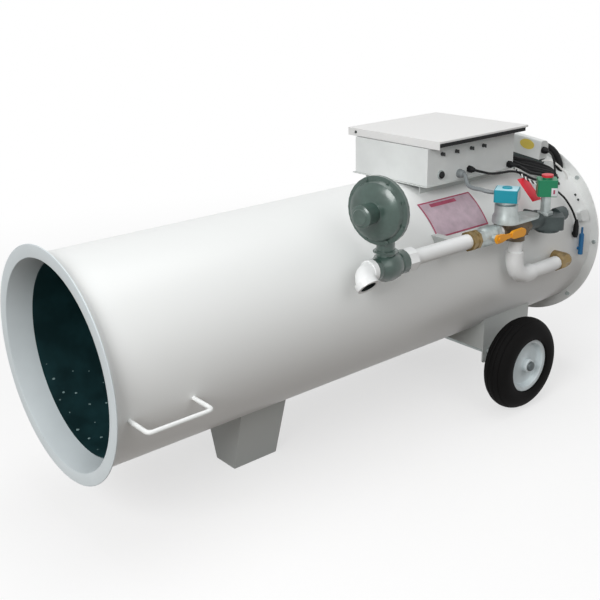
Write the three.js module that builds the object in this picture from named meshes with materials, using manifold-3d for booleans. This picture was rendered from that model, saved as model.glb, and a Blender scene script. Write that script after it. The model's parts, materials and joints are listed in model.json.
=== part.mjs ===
// Direct-fired forced air heater on two wheels and a front leg.
// Millimetres. While the pieces are made, X runs along the drum from its outlet face,
// Z is up from the drum's axis and -Y is the side that carries the gas train.
// The last lines move the whole group so that it stands on the floor at Z = 0.

import * as THREE from 'three';
import { mergeVertices } from 'three/addons/utils/BufferGeometryUtils.js';
import Module from 'manifold-3d';

const wasm = await Module();
wasm.setup();

// ---------- driving dimensions ----------
const gap = 0.3;

const drumRadius = 305;
const drumWall = 2;
const drumSides = 64;
const drumLength = 2026;
const ringThickness = 4;
const outletRingRadius = drumRadius + 30.5;
const inletRingRadius = drumRadius + 34;
const coneDepth = 80;
const coneMouthRadius = drumRadius - 6;
const coneEndRadius = drumRadius - 19;
const coneWall = 2;

const linerRadius = drumRadius - 21.5;
const linerWall = 1.5;
const linerStart = coneDepth - 6;
const linerEnd = drumLength - 546;

const floorZ = -(drumRadius + 198);
const wheelX = drumLength - 471.6;
const wheelY = drumRadius + 60.3;
const tyreRadius = 165.9;
const tyreHalfWidth = 50.3;
const rimRadius = 94.7;
const axleRadius = 12.5;
const axleZ = floorZ + tyreRadius;

const legX = 618;
const legFootHalfLength = 84;
const legFootHalfWidth = 49;
const legTaperX = 0.021;
const legTaperY = 0.266;
const sheet = 4;

const bracketStartX = wheelX - 29.4;
const bracketEndX = wheelX + 224.6;
const bracketY = drumRadius - 83;
const bracketBottomZ = axleZ - 40.9;
const bracketSheet = 5;

const handleBar = 6.5;
const handleStartX = 54;
const handleEndX = 245;
const handleY = drumRadius + 83;
const handleZ = -65;

const boxStartX = drumLength - 761;
const boxEndX = boxStartX + 442;
const boxHalfWidth = 169;
const boxBottomZ = drumRadius + 4;
const boxTopZ = boxBottomZ + 122.7;
const boxSheet = 2;
const lidStartX = boxStartX + 6;
const lidEndX = boxEndX + 17;
const lidHalfWidth = boxHalfWidth + 44;
const lidTopZ = boxTopZ + 27.3;
const hingeY = boxHalfWidth + 6;
const hingeZ = boxTopZ + 4.3;

const pipeY = -(drumRadius + 45);
const pipeZ = 163;
const pipeRadius = 24.15;
const pipeBore = 20.5;
const caseX = drumLength - 1159;
const caseZ = pipeZ + 174;
const caseRadius = 101;
const caseTurn = 12;
const leverX = caseX + 486;
const dropX = caseX + 641;
const runZ = pipeZ - 178;
const entryX = dropX + 291;
const coilOneX = dropX - 60;

// ---------- colours ----------
const paintWhite = { color: 0xeeefee, roughness: 0.38, metalness: 0.0 };
const paintGrey = { color: 0x8f9492, roughness: 0.5, metalness: 0.0 };
const boxGrey = { color: 0xc9cccb, roughness: 0.45, metalness: 0.0 };
const sootSteel = { color: 0x17262a, roughness: 0.62, metalness: 0.5 };
const darkSteel = { color: 0x39403f, roughness: 0.55, metalness: 0.6 };
const zincSteel = { color: 0xc8d2cf, roughness: 0.32, metalness: 0.75 };
const rubber = { color: 0x141010, roughness: 0.85, metalness: 0.0 };
const blackPlastic = { color: 0x1b1a1c, roughness: 0.5, metalness: 0.0 };
const castGreen = { color: 0x5e7570, roughness: 0.42, metalness: 0.25 };
const castGrey = { color: 0x4d5654, roughness: 0.6, metalness: 0.3 };
const brass = { color: 0xa89060, roughness: 0.35, metalness: 0.8 };
const bronze = { color: 0x7c6f5c, roughness: 0.5, metalness: 0.6 };
const leverYellow = { color: 0xf0a020, roughness: 0.45, metalness: 0.0 };
const coilBlue = { color: 0x0090b8, roughness: 0.4, metalness: 0.0 };
const coilGreen = { color: 0x0f8a5a, roughness: 0.4, metalness: 0.0 };
const capRed = { color: 0xd02430, roughness: 0.45, metalness: 0.0 };
const sensorBlue = { color: 0x10649a, roughness: 0.4, metalness: 0.0 };

const group = new THREE.Group();
group.name = 'forced_air_heater';

// ---------- solids ----------
// A three.js geometry becomes a closed solid with its faces outward.
function toSolid(geometry) {
  const bare = geometry.clone();
  bare.deleteAttribute('normal');
  bare.deleteAttribute('uv');
  const merged = mergeVertices(bare, 1e-4);
  const position = merged.attributes.position;
  const index = merged.index.array;
  const corner = [new THREE.Vector3(), new THREE.Vector3(), new THREE.Vector3()];
  const kept = [];
  let volume = 0;
  for (let i = 0; i < index.length; i += 3) {
    const [a, b, c] = [index[i], index[i + 1], index[i + 2]];
    if (a === b || b === c || a === c) continue;
    kept.push(a, b, c);
    [a, b, c].forEach((v, k) => corner[k].fromBufferAttribute(position, v));
    volume += corner[0].dot(corner[1].clone().cross(corner[2]));
  }
  if (volume < 0) {
    for (let i = 0; i < kept.length; i += 3) {
      [kept[i], kept[i + 1]] = [kept[i + 1], kept[i]];
    }
  }
  return new wasm.Manifold(new wasm.Mesh({
    numProp: 3,
    vertProperties: new Float32Array(position.array),
    triVerts: new Uint32Array(kept),
  }));
}

function join(...solids) {
  return solids.reduce((all, next) => all.add(next));
}

function cut(solid, ...tools) {
  return tools.reduce((rest, tool) => rest.subtract(tool), solid);
}

function mirrored(solid) {
  return solid.mirror([0, 1, 0]);
}

function piece(name, solid, look) {
  const mesh = solid.getMesh();
  const geometry = new THREE.BufferGeometry();
  geometry.setAttribute('position', new THREE.BufferAttribute(new Float32Array(mesh.vertProperties), 3));
  geometry.setIndex(new THREE.BufferAttribute(new Uint32Array(mesh.triVerts), 1));
  geometry.computeVertexNormals();
  const part = new THREE.Mesh(geometry, new THREE.MeshStandardMaterial(look));
  part.name = name;
  group.add(part);
}

// Turns the lathe's or the extrusion's own axes onto the wanted axis.
function orient(geometry, axis) {
  const turn = new THREE.Matrix4();
  if (axis === 'x') turn.set(0, 1, 0, 0, 0, 0, 1, 0, 1, 0, 0, 0, 0, 0, 0, 1);
  if (axis === 'z') turn.set(0, 0, 1, 0, 1, 0, 0, 0, 0, 1, 0, 0, 0, 0, 0, 1);
  return geometry.applyMatrix4(turn);
}

// A profile of [radius, distance along the axis] is turned about an axis through `at`.
function turned(profile, axis, at = [0, 0, 0], sides = 32) {
  const points = profile.map(([r, s]) => new THREE.Vector2(r, s));
  const geometry = orient(new THREE.LatheGeometry(points, sides), axis);
  return toSolid(geometry.translate(...at));
}

function rod(radius, from, to, axis, at = [0, 0, 0], sides = 16) {
  return turned([[0, from], [radius, from], [radius, to], [0, to]], axis, at, sides);
}

function tube(outer, inner, from, to, axis, at = [0, 0, 0], sides = 16) {
  return turned([[outer, from], [outer, to], [inner, to], [inner, from], [outer, from]], axis, at, sides);
}

function block(x0, x1, y0, y1, z0, z1) {
  const geometry = new THREE.BoxGeometry(x1 - x0, y1 - y0, z1 - z0);
  return toSolid(geometry.translate((x0 + x1) / 2, (y0 + y1) / 2, (z0 + z1) / 2));
}

// An outline in the plane across an axis ('x': y,z  'y': x,z  'z': x,y) is made solid.
function slab(outline, axis, from, to) {
  const shape = outline instanceof THREE.Shape
    ? outline
    : new THREE.Shape(outline.map(([u, v]) => new THREE.Vector2(u, v)));
  const geometry = new THREE.ExtrudeGeometry(shape, { depth: to - from, bevelEnabled: false, curveSegments: 4 });
  const turn = new THREE.Matrix4();
  if (axis === 'x') turn.set(0, 0, 1, from, 1, 0, 0, 0, 0, 1, 0, 0, 0, 0, 0, 1);
  if (axis === 'y') turn.set(1, 0, 0, 0, 0, 0, 1, from, 0, 1, 0, 0, 0, 0, 0, 1);
  if (axis === 'z') turn.set(1, 0, 0, 0, 0, 1, 0, 0, 0, 0, 1, from, 0, 0, 0, 1);
  return toSolid(geometry.applyMatrix4(turn));
}

function roundedOutline(width, depth, radius) {
  const [w, d] = [width / 2, depth / 2];
  const shape = new THREE.Shape();
  shape.absarc(w - radius, d - radius, radius, 0, Math.PI / 2);
  shape.absarc(-w + radius, d - radius, radius, Math.PI / 2, Math.PI);
  shape.absarc(-w + radius, -d + radius, radius, Math.PI, Math.PI * 1.5);
  shape.absarc(w - radius, -d + radius, radius, Math.PI * 1.5, Math.PI * 2);
  return shape;
}

// A straight run of corners becomes a path with rounded bends.
function roundedPath(corners, bend) {
  const path = new THREE.CurvePath();
  const points = corners.map((c) => new THREE.Vector3(...c));
  let start = points[0];
  for (let i = 1; i < points.length - 1; i += 1) {
    const inward = points[i].clone().sub(points[i - 1]).normalize();
    const outward = points[i + 1].clone().sub(points[i]).normalize();
    const before = points[i].clone().addScaledVector(inward, -bend);
    const after = points[i].clone().addScaledVector(outward, bend);
    path.add(new THREE.LineCurve3(start, before));
    path.add(new THREE.QuadraticBezierCurve3(before, points[i], after));
    start = after;
  }
  path.add(new THREE.LineCurve3(start, points.at(-1)));
  return path;
}

function loosePath(corners) {
  return new THREE.CatmullRomCurve3(corners.map((c) => new THREE.Vector3(...c)), false, 'centripetal');
}

function sweep(path, radius, sides, steps) {
  const outline = [];
  for (let i = 0; i < sides; i += 1) {
    const angle = (2 * Math.PI * i) / sides;
    outline.push(new THREE.Vector2(radius * Math.cos(angle), radius * Math.sin(angle)));
  }
  const shape = new THREE.Shape(outline);
  return toSolid(new THREE.ExtrudeGeometry(shape, { steps, extrudePath: path, bevelEnabled: false }));
}

// Everything that sits on the drum is trimmed with this.
const drumSolid = rod(drumRadius + gap, -50, drumLength + 50, 'x', [0, 0, 0], drumSides);
const onDrum = (solid) => cut(solid, drumSolid);

// A point over the drum, turned from the top towards the gas train and lifted off the skin.
function overDrum(x, degrees, lift) {
  const angle = THREE.MathUtils.degToRad(degrees);
  return [x, -(drumRadius + lift) * Math.sin(angle), (drumRadius + lift) * Math.cos(angle)];
}

// ---------- drum, end rings and liner ----------
function makeDrum() {
  const shell = tube(
    drumRadius, drumRadius - drumWall, ringThickness + gap, drumLength - ringThickness - gap, 'x', [0, 0, 0], drumSides);
  const gasHole = rod(pipeRadius + 2, -drumRadius - 20, -drumRadius + 20, 'y', [entryX, 0, runZ], 24);
  piece('outer_shell', cut(shell, gasHole), paintWhite);

  const outlet = [
    [outletRingRadius, 0], [outletRingRadius, ringThickness], [coneMouthRadius + coneWall, ringThickness],
    [coneEndRadius + coneWall, coneDepth], [coneEndRadius, coneDepth], [coneMouthRadius, 0], [outletRingRadius, 0],
  ];
  piece('outlet_ring', turned(outlet, 'x', [0, 0, 0], drumSides), paintWhite);

  const collarRadius = drumRadius - drumWall - gap;
  const inlet = [
    [inletRingRadius, drumLength - ringThickness], [inletRingRadius, drumLength],
    [collarRadius - 2, drumLength], [collarRadius - 2, drumLength - 36],
    [collarRadius, drumLength - 36], [collarRadius, drumLength - ringThickness],
    [inletRingRadius, drumLength - ringThickness],
  ];
  piece('inlet_ring', turned(inlet, 'x', [0, 0, 0], drumSides), paintWhite);
}

// The liner carries two toothed rings that hold it inside the drum and let air pass.
function spacerRing(x) {
  const teeth = 12;
  const outline = [];
  for (let i = 0; i < teeth * 4; i += 1) {
    const angle = (2 * Math.PI * (i + 0.5)) / (teeth * 4);
    const radius = i % 4 < 2 ? drumRadius - drumWall - 1.2 : linerRadius + 6;
    outline.push([radius * Math.cos(angle), radius * Math.sin(angle)]);
  }
  return cut(slab(outline, 'x', x, x + 3), rod(linerRadius - 1, x - 1, x + 4, 'x', [0, 0, 0], 48));
}

function makeLiner() {
  const wall = tube(linerRadius, linerRadius - linerWall, linerStart, linerEnd, 'x', [0, 0, 0], 48);
  piece('combustion_liner', join(wall, spacerRing(linerStart + 226), spacerRing(linerEnd - 180)), sootSteel);
}

// ---------- burner, motor and fan inside the drum ----------
const coneBack = drumLength - 384;
const motorStart = drumLength - 281;
const motorEnd = motorStart + 170;
const motorRadius = 78;
const shaftRadius = 12;

function makeBurner() {
  const wall = [
    [0, coneBack], [60, coneBack], [linerRadius - 51.5, coneBack - 152], [linerRadius - 53.5, coneBack - 154],
    [59, coneBack - 2], [0, coneBack - 2],
  ];
  const holes = [];
  [[110, 8], [180, 12]].forEach(([radius, count]) => {
    for (let i = 0; i < count; i += 1) {
      const angle = (2 * Math.PI * i) / count;
      const at = [0, radius * Math.cos(angle), radius * Math.sin(angle)];
      holes.push(rod(9, coneBack - 170, coneBack + 10, 'x', at, 6));
    }
  });
  piece('burner_cone', cut(turned(wall, 'x', [0, 0, 0], 32), ...holes), darkSteel);

  const route = [
    [entryX, -drumRadius - 20, runZ], [entryX, -250, runZ], [coneBack + 50, -250, runZ],
    [coneBack + 50, 0, 0], [coneBack + gap, 0, 0],
  ];
  const inside = rod(drumRadius - gap, 100, drumLength - 76, 'x', [0, 0, 0], drumSides);
  const pipe = sweep(roundedPath(route, 40), pipeRadius, 10, 24);
  piece('burner_manifold', pipe.intersect(inside), darkSteel);
}

function makeMotor() {
  const body = [
    [0, motorStart], [34, motorStart], [60, motorStart + 8], [72, motorStart + 10], [72, motorStart + 34],
    [motorRadius, motorStart + 36], [motorRadius, motorEnd - 36], [72, motorEnd - 34], [72, motorEnd - 10],
    [60, motorEnd - 8], [30, motorEnd], [0, motorEnd],
  ];
  const shaftHole = rod(shaftRadius + gap, motorEnd - 40, motorEnd + 5, 'x', [0, 0, 0], 24);
  piece('fan_motor', cut(turned(body, 'x', [0, 0, 0], 24), shaftHole), darkSteel);

  const shelfZ = -motorRadius - gap;
  const outer = block(motorStart + 25, motorEnd - 25, -62, 62, -drumRadius, shelfZ + 20);
  const inner = block(motorStart + 15, motorEnd - 15, -59, 59, -drumRadius - 1, shelfZ - 3);
  const keep = rod(drumRadius - drumWall - gap, motorStart - 45, motorEnd + 35, 'x', [0, 0, 0], drumSides);
  const seat = rod(motorRadius + gap, motorStart - 45, motorEnd + 35, 'x', [0, 0, 0], 24);
  piece('motor_cradle', cut(outer, inner, seat).intersect(keep), paintGrey);
}

// One blade is lofted through thin rectangles that turn and widen outward.
function blade(turnAngle) {
  const stations = 5;
  const position = [];
  const index = [];
  for (let i = 0; i < stations; i += 1) {
    const t = i / (stations - 1);
    const radius = 34 + t * (drumRadius - 57);
    const chord = 84 + t * 56;
    const pitch = THREE.MathUtils.degToRad(46 - t * 20);
    [[-1, -1], [1, -1], [1, 1], [-1, 1]].forEach(([a, b]) => {
      const across = (a * chord) / 2;
      const thick = b * 1.5;
      position.push(
        motorEnd + 43 + across * Math.sin(pitch) + thick * Math.cos(pitch),
        across * Math.cos(pitch) - thick * Math.sin(pitch),
        radius);
    });
  }
  for (let i = 0; i < stations - 1; i += 1) {
    for (let k = 0; k < 4; k += 1) {
      const [a, b] = [i * 4 + k, i * 4 + ((k + 1) % 4)];
      index.push(a, b, b + 4, a, b + 4, a + 4);
    }
  }
  const last = (stations - 1) * 4;
  index.push(0, 2, 1, 0, 3, 2, last, last + 1, last + 2, last, last + 2, last + 3);
  const geometry = new THREE.BufferGeometry();
  geometry.setAttribute('position', new THREE.Float32BufferAttribute(position, 3));
  geometry.setIndex(index);
  return toSolid(geometry.rotateX(turnAngle));
}

function makeFan() {
  const hub = [
    [0, motorEnd - 34], [shaftRadius, motorEnd - 34], [shaftRadius, motorEnd + 12], [42, motorEnd + 14],
    [46, motorEnd + 20], [46, motorEnd + 63], [40, motorEnd + 69], [0, motorEnd + 69],
  ];
  let fan = turned(hub, 'x', [0, 0, 0], 24);
  for (let i = 0; i < 6; i += 1) fan = fan.add(blade((Math.PI * i) / 3));
  piece('fan', fan, darkSteel);

  const guardX = drumLength + 3.3;
  const wire = 3;
  let guard = rod(36, guardX - 2, guardX + 2, 'x', [0, 0, 0], 12);
  [120, 220, drumRadius + 17].forEach((radius) => {
    const torus = new THREE.TorusGeometry(radius, wire, 4, 28).rotateY(Math.PI / 2);
    guard = guard.add(toSolid(torus.translate(guardX, 0, 0)));
  });
  for (let i = 0; i < 8; i += 1) {
    const length = drumRadius - 13;
    const spoke = new THREE.CylinderGeometry(wire - 0.4, wire - 0.4, length, 4).translate(0, 30 + length / 2, 0);
    guard = guard.add(toSolid(spoke.rotateX((Math.PI * (i + 0.5)) / 4).translate(guardX, 0, 0)));
  }
  piece('inlet_guard', guard, zincSteel);
}

// ---------- leg, rear bracket, axle and wheels ----------
function taperedPost(inset, fromZ, toZ) {
  const position = [];
  [fromZ, toZ].forEach((z) => {
    const halfX = legFootHalfLength - inset + legTaperX * (z - floorZ);
    const halfY = legFootHalfWidth - inset + legTaperY * (z - floorZ);
    [[-1, -1], [1, -1], [1, 1], [-1, 1]].forEach(([a, b]) => position.push(legX + a * halfX, b * halfY, z));
  });
  const index = [0, 2, 1, 0, 3, 2, 4, 5, 6, 4, 6, 7];
  for (let k = 0; k < 4; k += 1) {
    const next = (k + 1) % 4;
    index.push(k, next, next + 4, k, next + 4, k + 4);
  }
  const geometry = new THREE.BufferGeometry();
  geometry.setAttribute('position', new THREE.Float32BufferAttribute(position, 3));
  geometry.setIndex(index);
  return toSolid(geometry);
}

function makeStand() {
  const post = cut(taperedPost(0, floorZ, 65 - drumRadius), taperedPost(sheet, floorZ + sheet, 75 - drumRadius));
  piece('front_leg', onDrum(post), paintGrey);

  const ear = [
    [bracketStartX, 155 - drumRadius], [bracketEndX, 155 - drumRadius], [bracketEndX, 43 - drumRadius],
    [bracketStartX + 84, bracketBottomZ + 4],
    [bracketStartX + 78, bracketBottomZ], [bracketStartX + 5, bracketBottomZ],
    [bracketStartX, bracketBottomZ + 5],
  ];
  const half = bracketSheet / 2;
  const nearEar = slab(ear, 'y', -bracketY - half, -bracketY + half);
  const farEar = slab(ear, 'y', bracketY - half, bracketY + half);
  const cross = block(
    bracketStartX, bracketStartX + bracketSheet, -bracketY, bracketY, bracketBottomZ + 52, 105 - drumRadius);
  const axleHole = rod(axleRadius + gap, -wheelY, wheelY, 'y', [wheelX, 0, axleZ], 24);
  piece('rear_bracket', cut(onDrum(join(nearEar, farEar, cross)), axleHole), paintGrey);
  const axleHalf = wheelY + 50.7;
  piece('axle', rod(axleRadius, -axleHalf, axleHalf, 'y', [wheelX, 0, axleZ], 24), zincSteel);
}

function tyreProfile() {
  const profile = [];
  const centre = tyreRadius - tyreHalfWidth;
  const reach = Math.acos((rimRadius + 0.5 - centre) / tyreHalfWidth);
  const steps = 8;
  for (let i = 0; i <= steps; i += 1) {
    const angle = -reach + (2 * reach * i) / steps;
    profile.push([centre + tyreHalfWidth * Math.cos(angle), tyreHalfWidth * Math.sin(angle)]);
  }
  profile.push([rimRadius + 0.5, 36.2], [83.4, 32.6], [83.4, -32.6], [rimRadius + 0.5, -36.2]);
  profile.push([...profile[0]]);
  return profile;
}

function rimProfile() {
  const bore = axleRadius + gap;
  return [
    [bore, 45], [24, 45], [24, 24], [76, 12], [79, 35], [92.5, 38.5], [rimRadius, 36.5],
    [83, 33], [83, -33], [rimRadius, -36.5], [92.5, -38.5], [79, -35], [79, 8.5], [24, 20],
    [24, -48], [bore, -48], [bore, 45],
  ];
}

function makeWheels() {
  ['near', 'far'].forEach((name, i) => {
    const side = i === 0 ? -1 : 1;
    const place = (profile) => profile.map(([r, s]) => [r, side * (s + wheelY)]);
    const at = [wheelX, 0, axleZ];
    piece(`${name}_tyre`, turned(place(tyreProfile()), 'y', at, 32), rubber);
    piece(`${name}_rim`, turned(place(rimProfile()), 'y', at, 24), zincSteel);
    const cap = [
      [0, 56.5], [9, 56], [15, 53.5], [17.5, 49], [17.5, 45.6], [axleRadius + gap, 45.6],
      [axleRadius + gap, 51.2], [0, 51.2],
    ];
    piece(`${name}_hub_cap`, turned(place(cap), 'y', at, 16), zincSteel);
  });
}

// ---------- carrying handles at the outlet end ----------
function makeHandles() {
  const route = [
    [handleStartX, 45 - drumRadius, handleZ], [handleStartX, -handleY, handleZ],
    [handleEndX, -handleY, handleZ], [handleEndX, 45 - drumRadius, handleZ],
  ];
  const near = onDrum(sweep(roundedPath(route, 22), handleBar, 8, 22));
  piece('near_handle', near, paintWhite);
  piece('far_handle', mirrored(near), paintWhite);
}

// ---------- control box ----------
// Four turn switches in a row, and a push button below the first.
const switchX = [67, 136, 211, 274].map((along) => boxStartX + along);
const switchZ = boxTopZ - 24.7;
const buttonX = boxStartX + 64;
const buttonZ = boxBottomZ + 30;
const stemRadius = 4;

function makeBox() {
  const outer = block(boxStartX, boxEndX, -boxHalfWidth, boxHalfWidth, boxBottomZ, boxTopZ);
  const inner = block(
    boxStartX + boxSheet, boxEndX - boxSheet, -boxHalfWidth + boxSheet, boxHalfWidth - boxSheet,
    boxBottomZ + boxSheet, boxTopZ + 5);
  const collarOuter = block(
    boxStartX + 23, boxEndX - 4, -boxHalfWidth + 1, boxHalfWidth - 1, boxTopZ - 6, boxTopZ + 18.3);
  const collarInner = block(
    boxStartX + 25, boxEndX - 6, -boxHalfWidth + 3, boxHalfWidth - 3, boxTopZ - 12, boxTopZ + 24);
  const ledge = block(boxStartX + 1, boxEndX - 1, -boxHalfWidth + 1, boxHalfWidth - 1, boxTopZ - 6, boxTopZ - 4);
  const rim = cut(join(ledge, collarOuter), collarInner);
  const holeAt = (radius, x, z) => rod(radius, -boxHalfWidth - 5, -boxHalfWidth + 5, 'y', [x, 0, z], 16);
  const holes = switchX.map((x) => holeAt(stemRadius + gap, x, switchZ));
  holes.push(holeAt(stemRadius + 1 + gap, buttonX, buttonZ));
  piece('control_box', cut(join(cut(outer, inner), rim), ...holes), boxGrey);

  const top = block(lidStartX, lidEndX, -lidHalfWidth, lidHalfWidth, lidTopZ - 27, lidTopZ);
  const room = block(
    lidStartX + boxSheet, lidEndX - boxSheet, -lidHalfWidth + boxSheet, lidHalfWidth - boxSheet,
    lidTopZ - 40, lidTopZ - boxSheet);
  const sideTrim = block(
    lidStartX + boxSheet, lidEndX + 1, -lidHalfWidth - 1, lidHalfWidth + 1, lidTopZ - 40, lidTopZ - 7);
  const leaf = block(boxStartX + 31, boxEndX - 23, hingeY - 1.5, hingeY + 1.5, hingeZ + 4.6, lidTopZ - 1);
  piece('box_lid', join(cut(top, room, sideTrim), leaf), paintWhite);

  const sealOuter = block(
    lidStartX + 7, lidEndX - 10, -lidHalfWidth + 3, lidHalfWidth - 3, lidTopZ - 20, lidTopZ - boxSheet - gap);
  const sealInner = block(lidStartX + 15, lidEndX - 18, -lidHalfWidth + 11, lidHalfWidth - 11, lidTopZ - 30, lidTopZ);
  piece('lid_seal', cut(sealOuter, sealInner), rubber);

  const leafZ = hingeZ - 36;
  const [hingeStart, hingeEnd] = [boxStartX + 25, boxEndX - 17];
  const barrel = rod(4, hingeStart, hingeEnd, 'x', [0, hingeY, hingeZ], 12);
  const fixedLeaf = block(hingeStart, hingeEnd, boxHalfWidth + gap, boxHalfWidth + 3, leafZ, hingeZ);
  piece('lid_hinge', join(barrel, fixedLeaf), zincSteel);

  const plate = block(
    boxStartX - 8, boxEndX + 5, -boxHalfWidth - 7, boxHalfWidth + 7, boxBottomZ - gap - 3.1, boxBottomZ - gap);
  const near = block(boxStartX + 10, boxEndX - 10, -128, -124, boxBottomZ - 69, boxBottomZ - 2);
  piece('box_saddle', onDrum(join(plate, near, mirrored(near))), paintGrey);
}

function makeSwitches() {
  const face = -boxHalfWidth - gap;
  switchX.forEach((x, i) => {
    const collar = rod(6.5, face - 3, face, 'y', [x, 0, switchZ], 12);
    const boss = rod(4.6, face - 9, face - 2, 'y', [x, 0, switchZ], 12);
    const grip = block(x - 1.6, x + 1.6, face - 14, face - 8, switchZ - 6, switchZ + 6);
    const stem = rod(stemRadius, face - 1, face + 16, 'y', [x, 0, switchZ], 8);
    piece(`switch_${i + 1}`, join(collar, boss, grip, stem), blackPlastic);
  });
  const button = [
    [0, face - 11], [9, face - 10.4], [11.5, face - 8], [11.5, face - 3.5], [stemRadius + 1, face - 3.5],
    [stemRadius + 1, face + 14], [0, face + 14],
  ];
  piece('reset_button', turned(button, 'y', [buttonX, 0, buttonZ], 16), blackPlastic);
}

// Strain reliefs and the cables they hold, each moulded in one.
function gland(x, z) {
  const face = -boxHalfWidth - gap;
  const nut = rod(12, face - 14, face, 'y', [x, 0, z], 6);
  return join(nut, turned([[0, face - 24], [7, face - 24], [10, face - 13], [0, face - 13]], 'y', [x, 0, z], 16));
}

// The power cable is a bundle: one strand leaves the front gland, two leave the end of the box.
function makeWiring() {
  const face = -boxHalfWidth - gap;
  const tail = face - 22;
  const signalX = boxStartX + 204;
  const powerX = boxStartX + 416;
  const glandZ = boxBottomZ + 28;
  const powerZ = boxBottomZ + 13;
  const signal = loosePath([
    [signalX, tail, glandZ], [signalX + 3, tail - 12, glandZ - 2], [signalX + 30, tail - 15, glandZ - 10],
    [signalX + 56, tail - 17, glandZ - 18], [signalX + 101, tail - 17, glandZ - 25],
    [signalX + 172, tail - 18, glandZ - 29], [signalX + 221, tail - 22, glandZ - 40],
    overDrum(powerX + 69, 40.5, 46), overDrum(powerX + 131, 42, 34), overDrum(powerX + 199, 43.2, 20),
    overDrum(powerX + 244, 44.5, 4), overDrum(powerX + 252, 45, -8),
  ]);
  piece('signal_cable', onDrum(join(gland(signalX, glandZ), sweep(signal, 4.5, 6, 28))), rubber);

  const lower = loosePath([
    [powerX, tail, powerZ], [powerX + 3, tail - 12, powerZ - 1], [powerX + 19, tail - 15, powerZ - 8],
    [powerX + 41, tail - 15, powerZ - 19], overDrum(powerX + 71, 36, 51), overDrum(powerX + 131, 37.8, 38.5),
    overDrum(powerX + 199, 39, 24), overDrum(powerX + 249, 40, 5), overDrum(powerX + 257, 40.5, -9),
  ]);
  const endX = boxEndX + gap;
  const upper = loosePath([
    [endX + 22, -120, glandZ + 1], [endX + 34, -124, glandZ], overDrum(endX + 55, 23.2, 51),
    overDrum(endX + 112, 27.4, 45), overDrum(endX + 159, 31.4, 36), overDrum(endX + 201, 34.8, 25),
    overDrum(endX + 228, 38, 7), overDrum(endX + 234, 39, -9),
  ]);
  const middle = loosePath([
    [endX + 20, -120, glandZ - 2], [endX + 30, -134, glandZ - 14], overDrum(endX + 52, 28, 43),
    overDrum(endX + 98, 31.4, 38), overDrum(endX + 146, 34.4, 30), overDrum(endX + 200, 37.2, 20),
    overDrum(endX + 226, 39, 6), overDrum(endX + 232, 40, -9),
  ]);
  const endNut = rod(12, endX, endX + 14, 'x', [0, -120, glandZ + 1], 6);
  const endCone = turned([[0, endX + 13], [11, endX + 13], [9, endX + 26], [0, endX + 26]], 'x', [0, -120, glandZ + 1], 12);
  piece('power_cable', onDrum(join(
    gland(powerX, powerZ), sweep(lower, 6.5, 6, 20), endNut, endCone, sweep(upper, 7, 6, 18),
    sweep(middle, 7, 6, 18))), rubber);

  const conduitX = boxStartX + 155;
  const fitting = [[0, face], [15, face], [15, face - 6], [13, face - 6], [13, face - 17], [9, face - 22], [0, face - 22]];
  const hole = boxBottomZ + 21;
  const coilSide = [coilOneX - 39.5, pipeY + 37];
  const bend = loosePath([
    [conduitX, face - 19, hole], [conduitX - 1, face - 27, hole - 2], [conduitX - 9, face - 40, hole - 16],
    [conduitX - 18, face - 55, hole - 28], [conduitX - 22, -255, hole - 34], [conduitX - 19, -284, hole - 34],
    [coilSide[0] - 7, coilSide[1] + 16, hole - 36], [coilSide[0], coilSide[1] + 3.6, hole - 38],
    [coilSide[0] + 7.5, coilSide[1] - 8.9, hole - 39],
  ]);
  piece('conduit', join(turned(fitting, 'y', [conduitX, 0, hole], 16), sweep(bend, 7, 8, 16)), paintGrey);
}

// ---------- ignition transformer and its leads ----------
const unitStart = drumLength - 141;
const unitEnd = unitStart + 47;
const unitHalfWidth = 112;
const unitBottom = drumRadius + 15;
const unitTop = drumRadius + 85;
const unitTilt = 7;

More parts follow.
